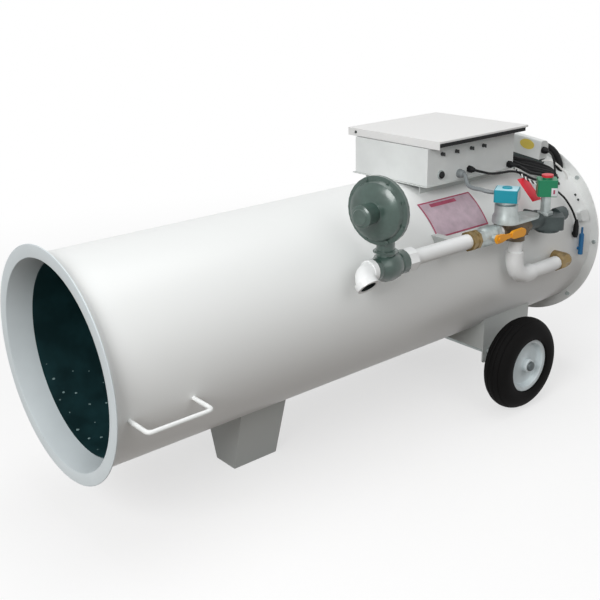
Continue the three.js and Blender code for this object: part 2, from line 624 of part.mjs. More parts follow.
function makeIgnition() {
  const profile = new THREE.Shape();
  profile.moveTo(unitStart, unitBottom);
  profile.lineTo(unitEnd, unitBottom);
  profile.absarc(unitEnd - 30, unitTop - 30, 30, 0, Math.PI / 2);
  profile.absarc(unitStart + 5, unitTop - 5, 5, Math.PI / 2, Math.PI);
  const tilt = (solid) => solid.rotate([unitTilt, 0, 0]);
  piece('ignition_transformer', tilt(slab(profile, 'y', -unitHalfWidth, unitHalfWidth)), boxGrey);

  const w = unitHalfWidth - 5;
  const base = block(unitStart + 3, unitEnd - 3, -w, w, drumRadius - 55, unitBottom - gap);
  const room = block(unitStart + 6, unitEnd - 6, -w + 3, w - 3, drumRadius - 65, unitBottom - gap - 3);
  piece('transformer_base', onDrum(tilt(cut(base, room))), castGrey);

  const end = -unitHalfWidth - gap;
  const bootX = unitStart + 15;
  const bootZ = unitBottom + 36;
  const boot = [[0, end], [12.5, end], [12.5, end - 11], [9, end - 20], [0, end - 24]];
  const nearBoot = tilt(turned(boot, 'y', [bootX, 0, bootZ], 12));
  const plugX = unitStart + 27;
  const plugY = -(drumRadius + 8);
  const lead = loosePath([
    [bootX, -unitHalfWidth - 61, unitBottom + 18], [bootX - 1, -unitHalfWidth - 80, unitBottom + 12],
    overDrum(bootX - 8, 34.7, 67), overDrum(bootX - 24, 41.5, 44), overDrum(bootX - 32, 48.6, 20),
    overDrum(bootX - 10, 56, 19), overDrum(bootX + 9, 64.5, 17), [plugX, plugY, 96],
  ]);
  const plug = [[0, 104], [5, 104], [7, 94], [10, 80], [10, 46], [7, 38], [0, 38]];
  const stub = rod(7, plugY + 1, plugY + 23, 'y', [plugX, 0, 50], 12);
  piece('igniter_lead', onDrum(join(
    nearBoot, sweep(lead, 3.8, 6, 20), turned(plug, 'z', [plugX, plugY, 0], 12), stub)), rubber);

  const arch = loosePath([
    [unitEnd + 2.4, -118, unitBottom + 26], [unitEnd + 12, -119, unitBottom + 27],
    [unitEnd + 22, -127, unitBottom + 23], overDrum(unitEnd + 34, 24, 56), overDrum(unitEnd + 52, 28, 35),
    overDrum(unitEnd + 61, 32.4, 6), overDrum(unitEnd + 63, 34, -16),
  ]);
  piece('flame_lead', onDrum(sweep(arch, 14, 10, 9)), rubber);

  const white = loosePath([
    [unitStart + 23, -147.2, unitBottom - 24], [unitStart + 27, -152, unitBottom - 22], overDrum(unitStart + 42, 29, 36),
    overDrum(unitStart + 59, 32, 34.6), overDrum(unitStart + 75, 35.2, 28), overDrum(unitStart + 97, 40, 13.7),
    overDrum(unitStart + 105, 43.5, -6),
  ]);
  piece('earth_lead', onDrum(sweep(white, 3.6, 6, 14)), paintWhite);
}

function makeSensor() {
  const body = [[0, -33], [9, -33], [9, 43], [6, 47], [4, 48], [4, 70], [0, 70]];
  const at = [drumLength - 81, -(drumRadius + 13), 0];
  const stub = rod(6, at[1] + 1, at[1] + 28, 'y', [at[0], 0, -12], 12);
  piece('flame_sensor', onDrum(join(turned(body, 'z', at, 12), stub)), sensorBlue);

  const cover = slab(roundedOutline(46, 40, 8), 'z', drumRadius - 2, drumRadius + 18).rotate([90 - 19.3, 0, 0]);
  piece('service_cover', onDrum(cover.translate([drumLength - 51, 0, 0])), boxGrey);
}

// ---------- gas train ----------
const pipeAt = [0, pipeY, pipeZ];
const bodyStart = caseX - 22;
const bodyEnd = caseX + 103;
const valveStart = leverX - 52;
const valveEnd = leverX + 52;
const bronzeStart = dropX - 90;

function makeInlet() {
  const bendX = caseX - 69;
  const slope = Math.SQRT1_2;
  const reach = 46;
  const joint = bodyStart - gap;
  const mouth = [bendX, pipeY - reach * slope, pipeZ - reach * slope];
  const route = roundedPath([[joint, pipeY, pipeZ], [bendX, pipeY, pipeZ], mouth], 44);
  const beyond = [bendX, pipeY - (reach + 6) * slope, pipeZ - (reach + 6) * slope];
  const boreRoute = roundedPath([[joint + 8, pipeY, pipeZ], [bendX, pipeY, pipeZ], beyond], 44);
  const band = tube(35, 25, 26, reach, 'z', [0, 0, 0], 16).rotate([135, 0, 0]).translate([bendX, pipeY, pipeZ]);
  const socket = tube(33, 24, joint - 17, joint, 'x', pipeAt, 16);
  const body = cut(join(sweep(route, 30, 12, 9), band, socket), sweep(boreRoute, 24.8, 12, 10));
  piece('inlet_elbow', body, paintWhite);
}

function makeRegulator() {
  const body = [
    [0, bodyStart], [33, bodyStart], [33, bodyStart + 15], [30, bodyStart + 18], [44, bodyStart + 38],
    [46, bodyStart + 64], [42, bodyStart + 86], [33, bodyStart + 98], [36, bodyStart + 102],
    [36, bodyEnd], [0, bodyEnd],
  ];
  const caseAt = [0, pipeY, caseZ];
  const turnCase = (solid) => solid
    .translate([-caseX, -pipeY, 0]).rotate([0, 0, caseTurn]).translate([caseX, pipeY, 0]);
  const back = [
    [0, caseX + gap], [caseRadius, caseX + gap], [caseRadius, caseX + 6], [88, caseX + 8],
    [70, caseX + 30], [40, caseX + 38], [0, caseX + 38],
  ];
  const neckX = caseX + 30;
  const neckTop = caseZ - caseRadius + 18;
  const neck = join(
    rod(27, pipeZ + 20, neckTop, 'z', [neckX, pipeY, 0], 16),
    rod(37, pipeZ + 44, pipeZ + 51, 'z', [neckX, pipeY, 0], 8));
  const shoulder = block(caseX + 2, neckX + 5, pipeY - 22, pipeY + 22, caseZ - caseRadius - 4, caseZ - 55);
  const ahead = turnCase(block(caseX - 80, caseX + gap, pipeY - 140, pipeY + 140, neckTop - 60, caseZ + 140));
  piece('regulator_body', join(
    turned(body, 'x', pipeAt, 16), turnCase(turned(back, 'x', caseAt, 28)), cut(join(neck, shoulder), ahead)), castGreen);

  const tower = caseX - 81;
  const front = [
    [0, caseX], [caseRadius, caseX], [caseRadius, caseX - 7], [89, caseX - 9], [84, caseX - 21],
    [67, caseX - 32], [40, caseX - 36], [31, caseX - 38], [30, tower], [0, tower],
  ];
  let cover = turned(front, 'x', caseAt, 28);
  for (let i = 0; i < 8; i += 1) {
    const angle = (Math.PI * (i + 0.5)) / 4;
    const reach = caseRadius - 7;
    const at = [0, pipeY + reach * Math.cos(angle), caseZ + reach * Math.sin(angle)];
    cover = cover.add(rod(5, caseX - 11, caseX - 5, 'x', at, 6));
  }
  piece('diaphragm_cover', turnCase(cover), castGreen);
  const capStart = tower - gap;
  const cap = [
    [0, capStart], [33, capStart], [33, capStart - 8], [28, capStart - 11], [24, capStart - 12],
    [22, capStart - 15], [0, capStart - 15],
  ];
  piece('spring_cap', turnCase(turned(cap, 'x', caseAt, 20)), castGreen);
}

function makePipeline() {
  const unionEnd = bodyEnd + 35;
  const brassStart = caseX + 395;
  const union = tube(38, pipeBore, bodyEnd + gap, unionEnd, 'x', pipeAt, 8);
  const collar = tube(32, pipeBore, unionEnd - 2, unionEnd + 9, 'x', pipeAt, 16);
  const long = tube(pipeRadius, pipeBore, bodyEnd + 30, brassStart, 'x', pipeAt);
  piece('supply_pipe', join(union, collar, long), paintWhite);

  const fitting = join(
    tube(33, pipeBore, brassStart + gap, brassStart + 15, 'x', pipeAt, 8),
    tube(29, pipeBore, brassStart + 13, brassStart + 28, 'x', pipeAt),
    tube(32, pipeBore, brassStart + 26, valveStart - gap, 'x', pipeAt, 8));
  piece('brass_union', fitting, brass);

  const valve = join(
    tube(30, pipeBore, valveStart, valveStart + 20, 'x', pipeAt, 6),
    turned([
      [0, valveStart + 18], [27, valveStart + 18], [33, leverX - 18], [33, leverX + 18],
      [27, valveEnd - 18], [0, valveEnd - 18],
    ], 'x', pipeAt, 20),
    tube(30, pipeBore, valveEnd - 20, valveEnd, 'x', pipeAt, 6),
    rod(13, pipeY - 44, pipeY, 'y', [leverX, 0, pipeZ], 16));
  const stemHole = rod(6.3, pipeY - 60, pipeY - 12, 'y', [leverX, 0, pipeZ], 16);
  piece('ball_valve', cut(valve, stemHole), zincSteel);

  piece('link_pipe', tube(pipeRadius, pipeBore, valveEnd + gap, bronzeStart - gap, 'x', pipeAt), paintWhite);

  const footX = brassStart - 60;
  const foot = block(footX, footX + 30, pipeY + 10, -200, pipeZ - 13, pipeZ + 13);
  const seat = rod(pipeRadius + gap, footX - 10, footX + 40, 'x', pipeAt, 16);
  piece('pipe_support', onDrum(cut(foot, seat)), paintGrey);
}

// The lever turns about the valve's stem: along the pipe is open, straight down is shut.
function makeLever() {
  const face = pipeY - 44 - gap;
  const stem = rod(6, face - 14, face + 30, 'y', [leverX, 0, pipeZ], 16);
  const hub = rod(14, face - 10, face, 'y', [leverX, 0, pipeZ], 16);
  const half = [[-13, 10], [-9, 14], [16, 14], [40, 8], [68, 7]];
  const outline = [
    ...half.map(([along, wide]) => [leverX + along, pipeZ + wide]),
    ...half.toReversed().map(([along, wide]) => [leverX + along, pipeZ - wide]),
  ];
  const arm = slab(outline, 'y', face - 9, face - 3);
  const gripHalf = [[62, 7], [72, 13], [122, 14], [130, 9], [133, 4]];
  const gripOutline = [
    ...gripHalf.map(([along, wide]) => [leverX + along, pipeZ + wide]),
    ...gripHalf.toReversed().map(([along, wide]) => [leverX + along, pipeZ - wide]),
  ];
  const grip = slab(gripOutline, 'y', face - 12, face - 1);
  piece('valve_lever', join(stem, hub, arm, grip), leverYellow);
}

function coil(x, width, fromZ, toZ, turnDegrees) {
  const body = slab(roundedOutline(width, width, 7), 'z', fromZ, toZ);
  const crown = rod(16, toZ - 1, toZ + 5, 'z', [0, 0, 0], 20);
  return join(body, crown).rotate([0, 0, turnDegrees]).translate([x, pipeY, 0]);
}

const castX = dropX + 174;
const stemX = castX - 20;

function makeValves() {
  const bodyX = bronzeStart + 116;
  const body = join(
    block(bronzeStart + 8, bodyX, pipeY - 30, pipeY + 30, pipeZ - 26, pipeZ + 24.6),
    tube(32, pipeBore, bronzeStart, bronzeStart + 10, 'x', pipeAt, 6),
    rod(32, bodyX - 2, bodyX + 20, 'x', pipeAt, 6),
    rod(30, pipeZ - 44, pipeZ, 'z', [dropX, pipeY, 0]));
  const seatZ = pipeZ + 25;
  const above = block(bronzeStart - 10, bodyX + 40, pipeY - 60, pipeY + 60, seatZ - gap, seatZ + 40);
  piece('main_valve', cut(body, above), bronze);

  const coilZ = seatZ + 75;
  const plate = slab(roundedOutline(188, 84, 41), 'z', seatZ, seatZ + 9).translate([dropX - 2, pipeY, 0]);
  const tower = turned(
    [[0, seatZ + 3], [44, seatZ + 3], [44, seatZ + 24], [38, seatZ + 34], [38, coilZ - 12],
      [30, coilZ - 8], [30, coilZ - gap], [0, coilZ - gap]],
    'z', [coilOneX, pipeY, 0], 24);
  piece('main_valve_bonnet', join(plate, tower), zincSteel);
  piece('blue_coil', coil(coilOneX, 76, coilZ, coilZ + 41, 31), coilBlue);

  const castTop = pipeZ + 13;
  const casting = join(
    slab(roundedOutline(100, 100, 16), 'z', pipeZ - 33, castTop).rotate([0, 0, 42]).translate([castX, pipeY, 0]),
    rod(24, bodyX + 20 + gap, castX - 48, 'x', pipeAt, 12),
    rod(25, castX + 40, castX + 84, 'x', pipeAt, 12),
    rod(40, pipeZ - 46, pipeZ - 31, 'z', [castX, pipeY, 0], 20));
  const mount = rod(20, pipeY, -240, 'y', [castX, 0, pipeZ - 8]);
  piece('second_valve', onDrum(join(casting, mount)), castGrey);
  const stemTop = pipeZ + 82;
  const stem = join(
    rod(26, castTop + gap, castTop + 13, 'z', [stemX, pipeY, 0], 6),
    rod(17, castTop + 10, stemTop - gap, 'z', [stemX, pipeY, 0], 16));
  piece('second_valve_stem', stem, zincSteel);
  const coilTop = stemTop + 57;
  piece('green_coil', coil(stemX, 66, stemTop, coilTop, 42), coilGreen);
  piece('coil_cap', rod(20, coilTop + 5 + gap, coilTop + 14, 'z', [stemX, pipeY, 0], 16), capRed);
}

function makeBurnerPipe() {
  const bend = 78;
  const pipeTop = pipeZ - 44 - gap;
  const brassStart = entryX - 27;
  const route = roundedPath([[dropX, pipeY, pipeTop], [dropX, pipeY, runZ], [brassStart, pipeY, runZ]], bend);
  const elbowRoute = roundedPath(
    [[dropX, pipeY, runZ + bend + 16], [dropX, pipeY, runZ], [dropX + bend + 16, pipeY, runZ]], bend);
  const elbow = sweep(elbowRoute, 30, 12, 12);
  piece('burner_pipe', join(sweep(route, pipeRadius, 12, 12), elbow), paintWhite);

  const along = rod(27, brassStart + gap, entryX, 'x', [0, pipeY, runZ], 6);
  const inward = rod(26, pipeY, 15 - drumRadius, 'y', [entryX, 0, runZ], 16);
  const ball = toSolid(new THREE.SphereGeometry(26, 12, 8).translate(entryX, pipeY, runZ));
  piece('brass_elbow', onDrum(join(along, inward, ball)), brass);
}

makeDrum();
makeLiner();
makeBurner();
makeMotor();
makeFan();
makeStand();
makeWheels();
makeHandles();
makeBox();
makeSwitches();
makeWiring();
makeIgnition();
makeSensor();
makeInlet();
makeRegulator();
makePipeline();
makeLever();
makeValves();
makeBurnerPipe();

// The origin is the middle of the whole object's footprint, on the floor.
const bounds = new THREE.Box3().setFromObject(group);
group.position.set(
  -(bounds.min.x + bounds.max.x) / 2, -(bounds.min.y + bounds.max.y) / 2, -bounds.min.z);
group.updateMatrixWorld(true);

export default group;
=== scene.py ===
# Looks of a direct-fired forced air heater, laid out as a Blender add-on and run as a script.
# Shapes are worked out in millimetres from the middle of the hot air outlet: X along the
# drum, Z up, -Y towards the gas train. place() carries them into the frame, in metres.

import json
import math

import bmesh
import bpy
from bpy.props import FloatProperty, FloatVectorProperty, IntProperty, PointerProperty
from mathutils import Matrix, Vector


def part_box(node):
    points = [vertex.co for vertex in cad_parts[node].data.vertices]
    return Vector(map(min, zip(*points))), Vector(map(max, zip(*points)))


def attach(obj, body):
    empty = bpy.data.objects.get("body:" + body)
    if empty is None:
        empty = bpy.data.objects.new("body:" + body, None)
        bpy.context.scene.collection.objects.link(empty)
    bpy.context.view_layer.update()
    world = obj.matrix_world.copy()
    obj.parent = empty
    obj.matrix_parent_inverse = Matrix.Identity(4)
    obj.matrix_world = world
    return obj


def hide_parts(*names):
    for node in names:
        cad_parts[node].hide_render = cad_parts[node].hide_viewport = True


bl_info = {
    "name": "Forced Air Heater",
    "version": (1, 0, 0),
    "blender": (4, 5, 0),
    "location": "View3D > Sidebar > Heater",
    "description": "Dresses the frame of a wheeled forced air heater",
    "category": "Object",
}

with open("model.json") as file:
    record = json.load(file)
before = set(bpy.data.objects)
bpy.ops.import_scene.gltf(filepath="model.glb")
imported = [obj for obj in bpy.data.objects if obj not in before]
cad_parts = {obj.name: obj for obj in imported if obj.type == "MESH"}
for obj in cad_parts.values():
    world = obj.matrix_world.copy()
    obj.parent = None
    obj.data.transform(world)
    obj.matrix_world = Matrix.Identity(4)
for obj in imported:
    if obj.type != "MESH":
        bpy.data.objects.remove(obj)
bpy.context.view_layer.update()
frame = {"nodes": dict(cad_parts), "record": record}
shell_low, shell_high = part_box("outer_shell")
outlet_low, outlet_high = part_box("outlet_ring")

MM = 0.001
# The middle of the hot air outlet in the frame, in metres.
ORIGIN = Vector((outlet_low[0], (shell_low[1] + shell_high[1]) / 2, (shell_low[2] + shell_high[2]) / 2))
# The drum's radius, and where its sheet starts and ends along X.
DRUM = (shell_high[1] - shell_low[1]) / 2 / MM
SHELL_START = 4.3
SHELL_END = (shell_high[0] - outlet_low[0]) / MM
# The inner face of the inlet ring's flange.
INLET_FACE = 2022
# The gas train's centre line runs along X at this Y and Z.
PIPE_Y = -350
PIPE_Z = 163
# The control box: its end towards the fan, and half its width.
BOX_END = 1707.3
BOX_HALF = 169
# The middle of the axle, and how far out along it each wheel's middle stands.
AXLE = Vector((1554.4, 0, -337.1))
WHEEL_Y = 365.3
# Segments round the large rings, and across each softened edge.
DRUM_STEPS = 192
EDGE_STEPS = 2


# ---------- colours and materials ----------


def linear(code):
    """An sRGB hex colour as linear red, green, blue and alpha."""
    out = []
    for i in (0, 2, 4):
        c = int(code[i : i + 2], 16) / 255
        out.append(c / 12.92 if c <= 0.04045 else ((c + 0.055) / 1.055) ** 2.4)
    return (*out, 1.0)


def add(tree, kind, settings=None, **links):
    """One node with its settings. A link is socket=other_output, with _ for a space."""
    node = tree.nodes.new(kind)
    for key, value in (settings or {}).items():
        if key in node.bl_rna.properties:
            setattr(node, key, value)
        else:
            node.inputs[key].default_value = value
    for key, source in links.items():
        tree.links.new(source, node.inputs[key.replace("_", " ")])
    return node


MATERIALS = {}


def finish(name, colour, roughness, metallic=0.0, grain_mm=0.0, depth_mm=0.0, shade=0.0, patch_mm=60.0,
           **sockets):
    """A surface: its colour, a grain of a real size that roughens it, and soft patches of shade."""
    material = bpy.data.materials.new(name)
    material.use_nodes = True
    tree = material.node_tree
    surface = tree.nodes["Principled BSDF"]
    base = linear(colour) if isinstance(colour, str) else (*colour, 1.0)
    sockets.update(Base_Color=base, Roughness=roughness, Metallic=metallic)
    for key, value in sockets.items():
        surface.inputs[key.replace("_", " ")].default_value = value
    if shade or grain_mm:
        place_on = add(tree, "ShaderNodeTexCoord").outputs["Object"]
    if shade:
        patches = add(
            tree, "ShaderNodeTexNoise", {"Scale": 1 / (patch_mm * MM), "Detail": 3.0}, Vector=place_on)
        ramp = add(tree, "ShaderNodeValToRGB", Fac=patches.outputs["Fac"])
        dark, pale = ramp.color_ramp.elements
        dark.position = 0.35
        dark.color = [c * (1 - shade) for c in base[:3]] + [1]
        pale.position = 0.7
        pale.color = base
        tree.links.new(ramp.outputs["Color"], surface.inputs["Base Color"])
    if grain_mm:
        grain = add(
            tree, "ShaderNodeTexNoise", {"Scale": 1 / (grain_mm * MM), "Detail": 2.0}, Vector=place_on)
        bump = add(
            tree, "ShaderNodeBump", {"Distance": depth_mm * MM, "Strength": 1.0},
            Height=grain.outputs["Fac"])
        tree.links.new(bump.outputs["Normal"], surface.inputs["Normal"])
    MATERIALS[name] = material


def make_materials(look):
    """Every finish on the heater, by the name of what it really is."""
    # Baked enamel on sheet steel: smooth, softly glossy, with a faint orange peel.
    finish("white_enamel", look.drum_colour, 0.36, grain_mm=9, depth_mm=0.02,
           Specular_IOR_Level=0.35, Coat_Weight=0.06, Coat_Roughness=0.15)
    # The lid's enamel is duller, from weather and handling.
    finish("lid_enamel", "e6e6e5", 0.42, grain_mm=6, depth_mm=0.02)
    # Grey enamel on folded plate, with a soft sheen.
    finish("grey_enamel", look.stand_colour, 0.45, grain_mm=6, depth_mm=0.03)
    # The box's enamel, faintly soiled in broad patches.
    finish("box_enamel", "e4e7e6", 0.45, grain_mm=5, depth_mm=0.02, shade=0.08, patch_mm=90)
    # White enamel on iron pipe: glossy, over the fine grain of the iron.
    finish("pipe_enamel", "f3f5f5", 0.33, grain_mm=4, depth_mm=0.03)
    # The outlet's enamel, cooler and duller than the drum's.
    finish("outlet_enamel", "d5dee1", 0.4, grain_mm=8, depth_mm=0.03, shade=0.06, patch_mm=120)
    # Steel blued and dulled by the flame, with scale in patches.
    finish("scaled_steel", "24464a", 0.38, 0.25, grain_mm=12, depth_mm=0.2, shade=0.5, patch_mm=90)
    # Loose flakes of pale, dead matt ash.
    finish("ash_specks", "86a0a0", 0.8)
    # Bare steel under a film of oil and dust: dark, with a broken shine.
    finish("oily_steel", "3c4443", 0.5, 0.6, grain_mm=8, depth_mm=0.1, shade=0.3)
    # Bright zinc plating: pale metal, a little clouded.
    finish("zinc_plate", "b9c1c0", 0.42, 0.7, shade=0.22, patch_mm=25)
    # Pressed steel disc in pale baked enamel.
    finish("wheel_enamel", "dde7ea", 0.42, grain_mm=5, depth_mm=0.03, shade=0.08, patch_mm=50)
    # Pressed steel cap, dulled by dirt in small patches.
    finish("hub_steel", "5b6365", 0.45, 0.5, shade=0.2, patch_mm=15)
    # Moulded tyre rubber: near black and matt, with a fine skin.
    finish("tyre_rubber", "090808", 0.75, grain_mm=3, depth_mm=0.12, shade=0.3, patch_mm=40,
           Specular_IOR_Level=0.12)
    # Drawn cable sheath: smooth black rubber with a weak shine.
    finish("cable_rubber", "0b0c0e", 0.55, Specular_IOR_Level=0.22)
    # Moulded nylon, dark grey and satin.
    finish("switch_nylon", "3a3c3d", 0.5)
    # Moulded nylon, black and satin.
    finish("black_nylon", "111113", 0.5, Specular_IOR_Level=0.3)
    # Sand-cast metal under glossy grey-green paint that shows the sand's grain.
    finish("green_casting", "3f574f", 0.32, 0.1, grain_mm=2.5, depth_mm=0.15, shade=0.3, patch_mm=35,
           Coat_Weight=0.7, Coat_Roughness=0.16)
    # Sand-cast iron, grey, rough and dull.
    finish("grey_casting", "465050", 0.5, 0.25, grain_mm=2.5, depth_mm=0.2, shade=0.25, patch_mm=30)
    # Machined brass, browned by the air.
    finish("dull_brass", "957f55", 0.4, 0.7, shade=0.25, patch_mm=20)
    # Sand-cast bronze, dark brown between its rubbed places.
    finish("cast_bronze", "675a48", 0.5, 0.45, grain_mm=2.5, depth_mm=0.15, shade=0.35, patch_mm=30)
    # Steel strip dipped in soft vinyl: even, warm yellow.
    finish("yellow_vinyl", "f2a41e", 0.4)
    # Coil housings and their cap, moulded in coloured nylon with a soft gloss.
    finish("blue_nylon", "0092a6", 0.4)
    finish("green_nylon", "0a7a52", 0.4)
    finish("red_nylon", "d22a38", 0.4)
    finish("sensor_nylon", "14679c", 0.4)
    # Vinyl sheaths: smooth and even.
    finish("grey_sheath", "7f8587", 0.45)
    finish("white_sheath", "ececea", 0.4)
    # Thin aluminium plate, anodised pale and faintly mottled.
    finish("plate_print", "cdb6c2", 0.35, 0.1, shade=0.2, patch_mm=28)
    # Screen ink on the plate: a dull red, worn in patches.
    finish("plate_border", "b8506c", 0.4, shade=0.3, patch_mm=40)
    # Laminated red card.
    finish("tag_card", "df1c34", 0.45)
    # Vinyl labels, with the soft gloss of the film.
    finish("label_yellow", "e4cc5a", 0.45)
    finish("label_white", "dcdfe2", 0.4)
    # Painted sheen: a pale blue sheet that stands for the light falling on the blue coil's top.
    finish("painted_sheen_pale_blue", "b4e2ee", 0.35)


# The finish that each material slot of the frame gets.
SLOTS = {
    "white_paint": "white_enamel",
    "grey_paint": "grey_enamel",
    "box_paint": "box_enamel",
    "heated_steel": "scaled_steel",
    "dark_steel": "oily_steel",
    "zinc_steel": "zinc_plate",
    "cable_rubber": "cable_rubber",
    "tyre": "tyre_rubber",
    "black_plastic": "black_nylon",
    "cast_green": "green_casting",
    "cast_grey": "grey_casting",
    "brass": "dull_brass",
    "bronze": "cast_bronze",
    "lever_paint": "yellow_vinyl",
    "coil_blue": "blue_nylon",
    "coil_green": "green_nylon",
    "cap_red": "red_nylon",
    "sensor_blue": "sensor_nylon",
    "grey_sheath": "grey_sheath",
    "white_sheath": "white_sheath",
}


# ---------- shapes ----------


def edges_of(verts):
    """Every edge that meets the vertices, once each and in order."""
    return list(dict.fromkeys(e for v in verts for e in v.link_edges))


def faces_of(verts):
    """Every face that meets the vertices, once each and in order."""
    return list(dict.fromkeys(f for v in verts for f in v.link_faces))


def place(bm):
    """Carries millimetres at the outlet into the frame, in metres."""
    bmesh.ops.scale(bm, vec=(MM, MM, MM), verts=bm.verts)
    bmesh.ops.translate(bm, vec=ORIGIN, verts=bm.verts)


def turn_about(bm, verts, degrees, axis, centre=(0, 0, 0)):
    """Turns a shape about a line through a point."""
    bmesh.ops.rotate(bm, verts=verts, cent=centre, matrix=Matrix.Rotation(math.radians(degrees), 3, axis))


def piece(bm, name, body, material, stands_for=(), crease=35, placed=False):
    """Makes a shown piece of a bmesh, riding on its body, smooth but for its sharp edges."""
    if not placed:
        place(bm)
    mesh = bpy.data.meshes.new(name)
    bm.to_mesh(mesh)
    bm.free()
    mesh.polygons.foreach_set("use_smooth", [True] * len(mesh.polygons))
    mesh.set_sharp_from_angle(angle=math.radians(crease))
    shown = bpy.data.objects.new(name, mesh)
    bpy.context.collection.objects.link(shown)
    mesh.materials.append(MATERIALS[material])
    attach(shown, body)
    if stands_for:
        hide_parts(*stands_for)
    return shown


def to_axis(bm, verts, axis, at):
    """Turns a shape made about Z onto an axis and moves it to its place."""
    if axis == "x":
        turn_about(bm, verts, 90, "Y")
    if axis == "y":
        turn_about(bm, verts, -90, "X")
    bmesh.ops.translate(bm, verts=verts, vec=at)


def turned(bm, profile, axis="x", at=(0, 0, 0), steps=96, closed=True):
    """Spins a profile of (radius, distance along the axis) into a solid and welds its seam."""
    verts = [bm.verts.new((r, 0, s)) for r, s in profile]
    edges = [bm.edges.new(pair) for pair in zip(verts, verts[1:])]
    if closed:
        edges.append(bm.edges.new((verts[-1], verts[0])))
    others = set(bm.verts) - set(verts)
    bmesh.ops.spin(
        bm, geom=verts + edges, cent=(0, 0, 0), axis=(0, 0, 1), dvec=(0, 0, 0),
        angle=2 * math.pi, steps=steps, use_merge=True, use_duplicate=False)
    made = [v for v in bm.verts if v not in others]
    bmesh.ops.remove_doubles(bm, verts=made, dist=0.001)
    made = [v for v in bm.verts if v not in others]
    bmesh.ops.recalc_face_normals(bm, faces=faces_of(made))
    to_axis(bm, made, axis, at)


def soften(bm, edges, width, verts):
    """Bevels edges and gives back the shape's vertices."""
    others = set(bm.verts) - set(verts)
    bmesh.ops.bevel(
        bm, geom=edges, offset=width, offset_type="OFFSET", segments=EDGE_STEPS,
        profile=0.5, affect="EDGES", material=-1, clamp_overlap=True)
    return [v for v in bm.verts if v not in others]


def rod(bm, radius, start, end, axis="x", at=(0, 0, 0), sides=32, edge=0.6):
    """A capped round bar with softened rims."""
    made = bmesh.ops.create_cone(
        bm, cap_ends=True, segments=sides, radius1=radius, radius2=radius, depth=end - start)["verts"]
    bmesh.ops.translate(bm, verts=made, vec=(0, 0, (start + end) / 2))
    # Only the caps have more than four corners.
    rims = [e for e in edges_of(made) if any(len(f.verts) > 4 for f in e.link_faces)]
    made = soften(bm, rims, edge, made)
    to_axis(bm, made, axis, at)
    return made


def hex_head(bm, across, height, axis, at):
    """A hexagon bolt head whose foot is at the given point."""
    return rod(bm, across / math.sqrt(3), 0, height, axis, at, sides=6, edge=0.5)


def block(bm, low, high, edge):
    """A box between two corners with softened edges."""
    made = bmesh.ops.create_cube(bm, size=1)["verts"]
    size = [b - a for a, b in zip(low, high)]
    middle = [(a + b) / 2 for a, b in zip(low, high)]
    bmesh.ops.scale(bm, vec=size, verts=made)
    bmesh.ops.translate(bm, vec=middle, verts=made)
    return soften(bm, edges_of(made), edge, made)


def nut(bm, radius, bore, start, end, at):
    """A hexagon nut about a pipe, with its corners turned off."""
    corner = 1.6
    turned(bm, [
        (bore, start), (radius - corner, start), (radius, start + corner),
        (radius, end - corner), (radius - corner, end), (bore, end)], "x", at, steps=6)


def smooth_route(points, per_span=8):
    """Points along a smooth curve through the given ones, without overshoot in the short spans."""
    pts = [Vector(p) for p in points]
    ends = [pts[0] * 2 - pts[1]] + pts + [pts[-1] * 2 - pts[-2]]
    out = []
    for a, b, c, d in zip(ends, ends[1:], ends[2:], ends[3:]):
        # Each span counts for the square root of its length, which keeps the curve from looping.
        u, v, w = ((q - p).length ** 0.5 for p, q in ((a, b), (b, c), (c, d)))
        leave = ((b - a) / u - (c - a) / (u + v) + (c - b) / v) * v
        reach = ((c - b) / v - (d - b) / (v + w) + (d - c) / w) * v
        for k in range(per_span):
            t = k / per_span
            out.append(
                b * (2 * t**3 - 3 * t**2 + 1) + leave * (t**3 - 2 * t**2 + t)
                + c * (3 * t**2 - 2 * t**3) + reach * (t**3 - t**2))
    out.append(pts[-1])
    return out


def cornered_route(points, bend):
    """Straight runs joined by smooth bends that start and end at a distance from each corner."""
    steps = 14
    pts = [Vector(p) for p in points]
    out = [pts[0]]
    for a, b, c in zip(pts, pts[1:], pts[2:]):
        start = b + (a - b).normalized() * bend
        end = b + (c - b).normalized() * bend
        for k in range(steps + 1):
            t = k / steps
            out.append(start * (1 - t) ** 2 + b * (2 * t * (1 - t)) + end * t * t)
    out.append(pts[-1])
    return out


def heading(route, i):
    """The direction of a route at one of its points, as a vector that isn't of length 1."""
    return route[min(i + 1, len(route) - 1)] - route[max(i - 1, 0)]


def tube(bm, route, radius, sides=16, caps=True):
    """A round section carried along a route. Without caps it gives back its two open ends."""
    up = (route[1] - route[0]).normalized().orthogonal().normalized()
    ring = bmesh.ops.create_circle(bm, cap_ends=False, segments=sides, radius=1)["verts"]
    first = ring
    every = list(ring)
    edges = edges_of(ring)
    previous = None
    for i, point in enumerate(route):
        ahead = heading(route, i).normalized()
        up = (up - ahead * up.dot(ahead)).normalized()
        side = ahead.cross(up)
        basis = Matrix((side * radius, up * radius, ahead)).transposed().to_4x4()
        basis.translation = point
        if i:
            grown = bmesh.ops.extrude_edge_only(bm, edges=edges)["geom"]
            ring = [g for g in grown if isinstance(g, bmesh.types.BMVert)]
            edges = [
                g for g in grown
                if isinstance(g, bmesh.types.BMEdge) and all(v in ring for v in g.verts)]
            every += ring
            bmesh.ops.transform(bm, matrix=basis @ previous.inverted(), verts=ring)
        else:
            bmesh.ops.transform(bm, matrix=basis, verts=ring)
        previous = basis
    opening = [e for e in edges_of(first) if all(v in first for v in e.verts)]
    if not caps:
        return opening, edges
    bmesh.ops.contextual_create(bm, geom=opening)
    bmesh.ops.contextual_create(bm, geom=edges)
    bmesh.ops.recalc_face_normals(bm, faces=faces_of(every))


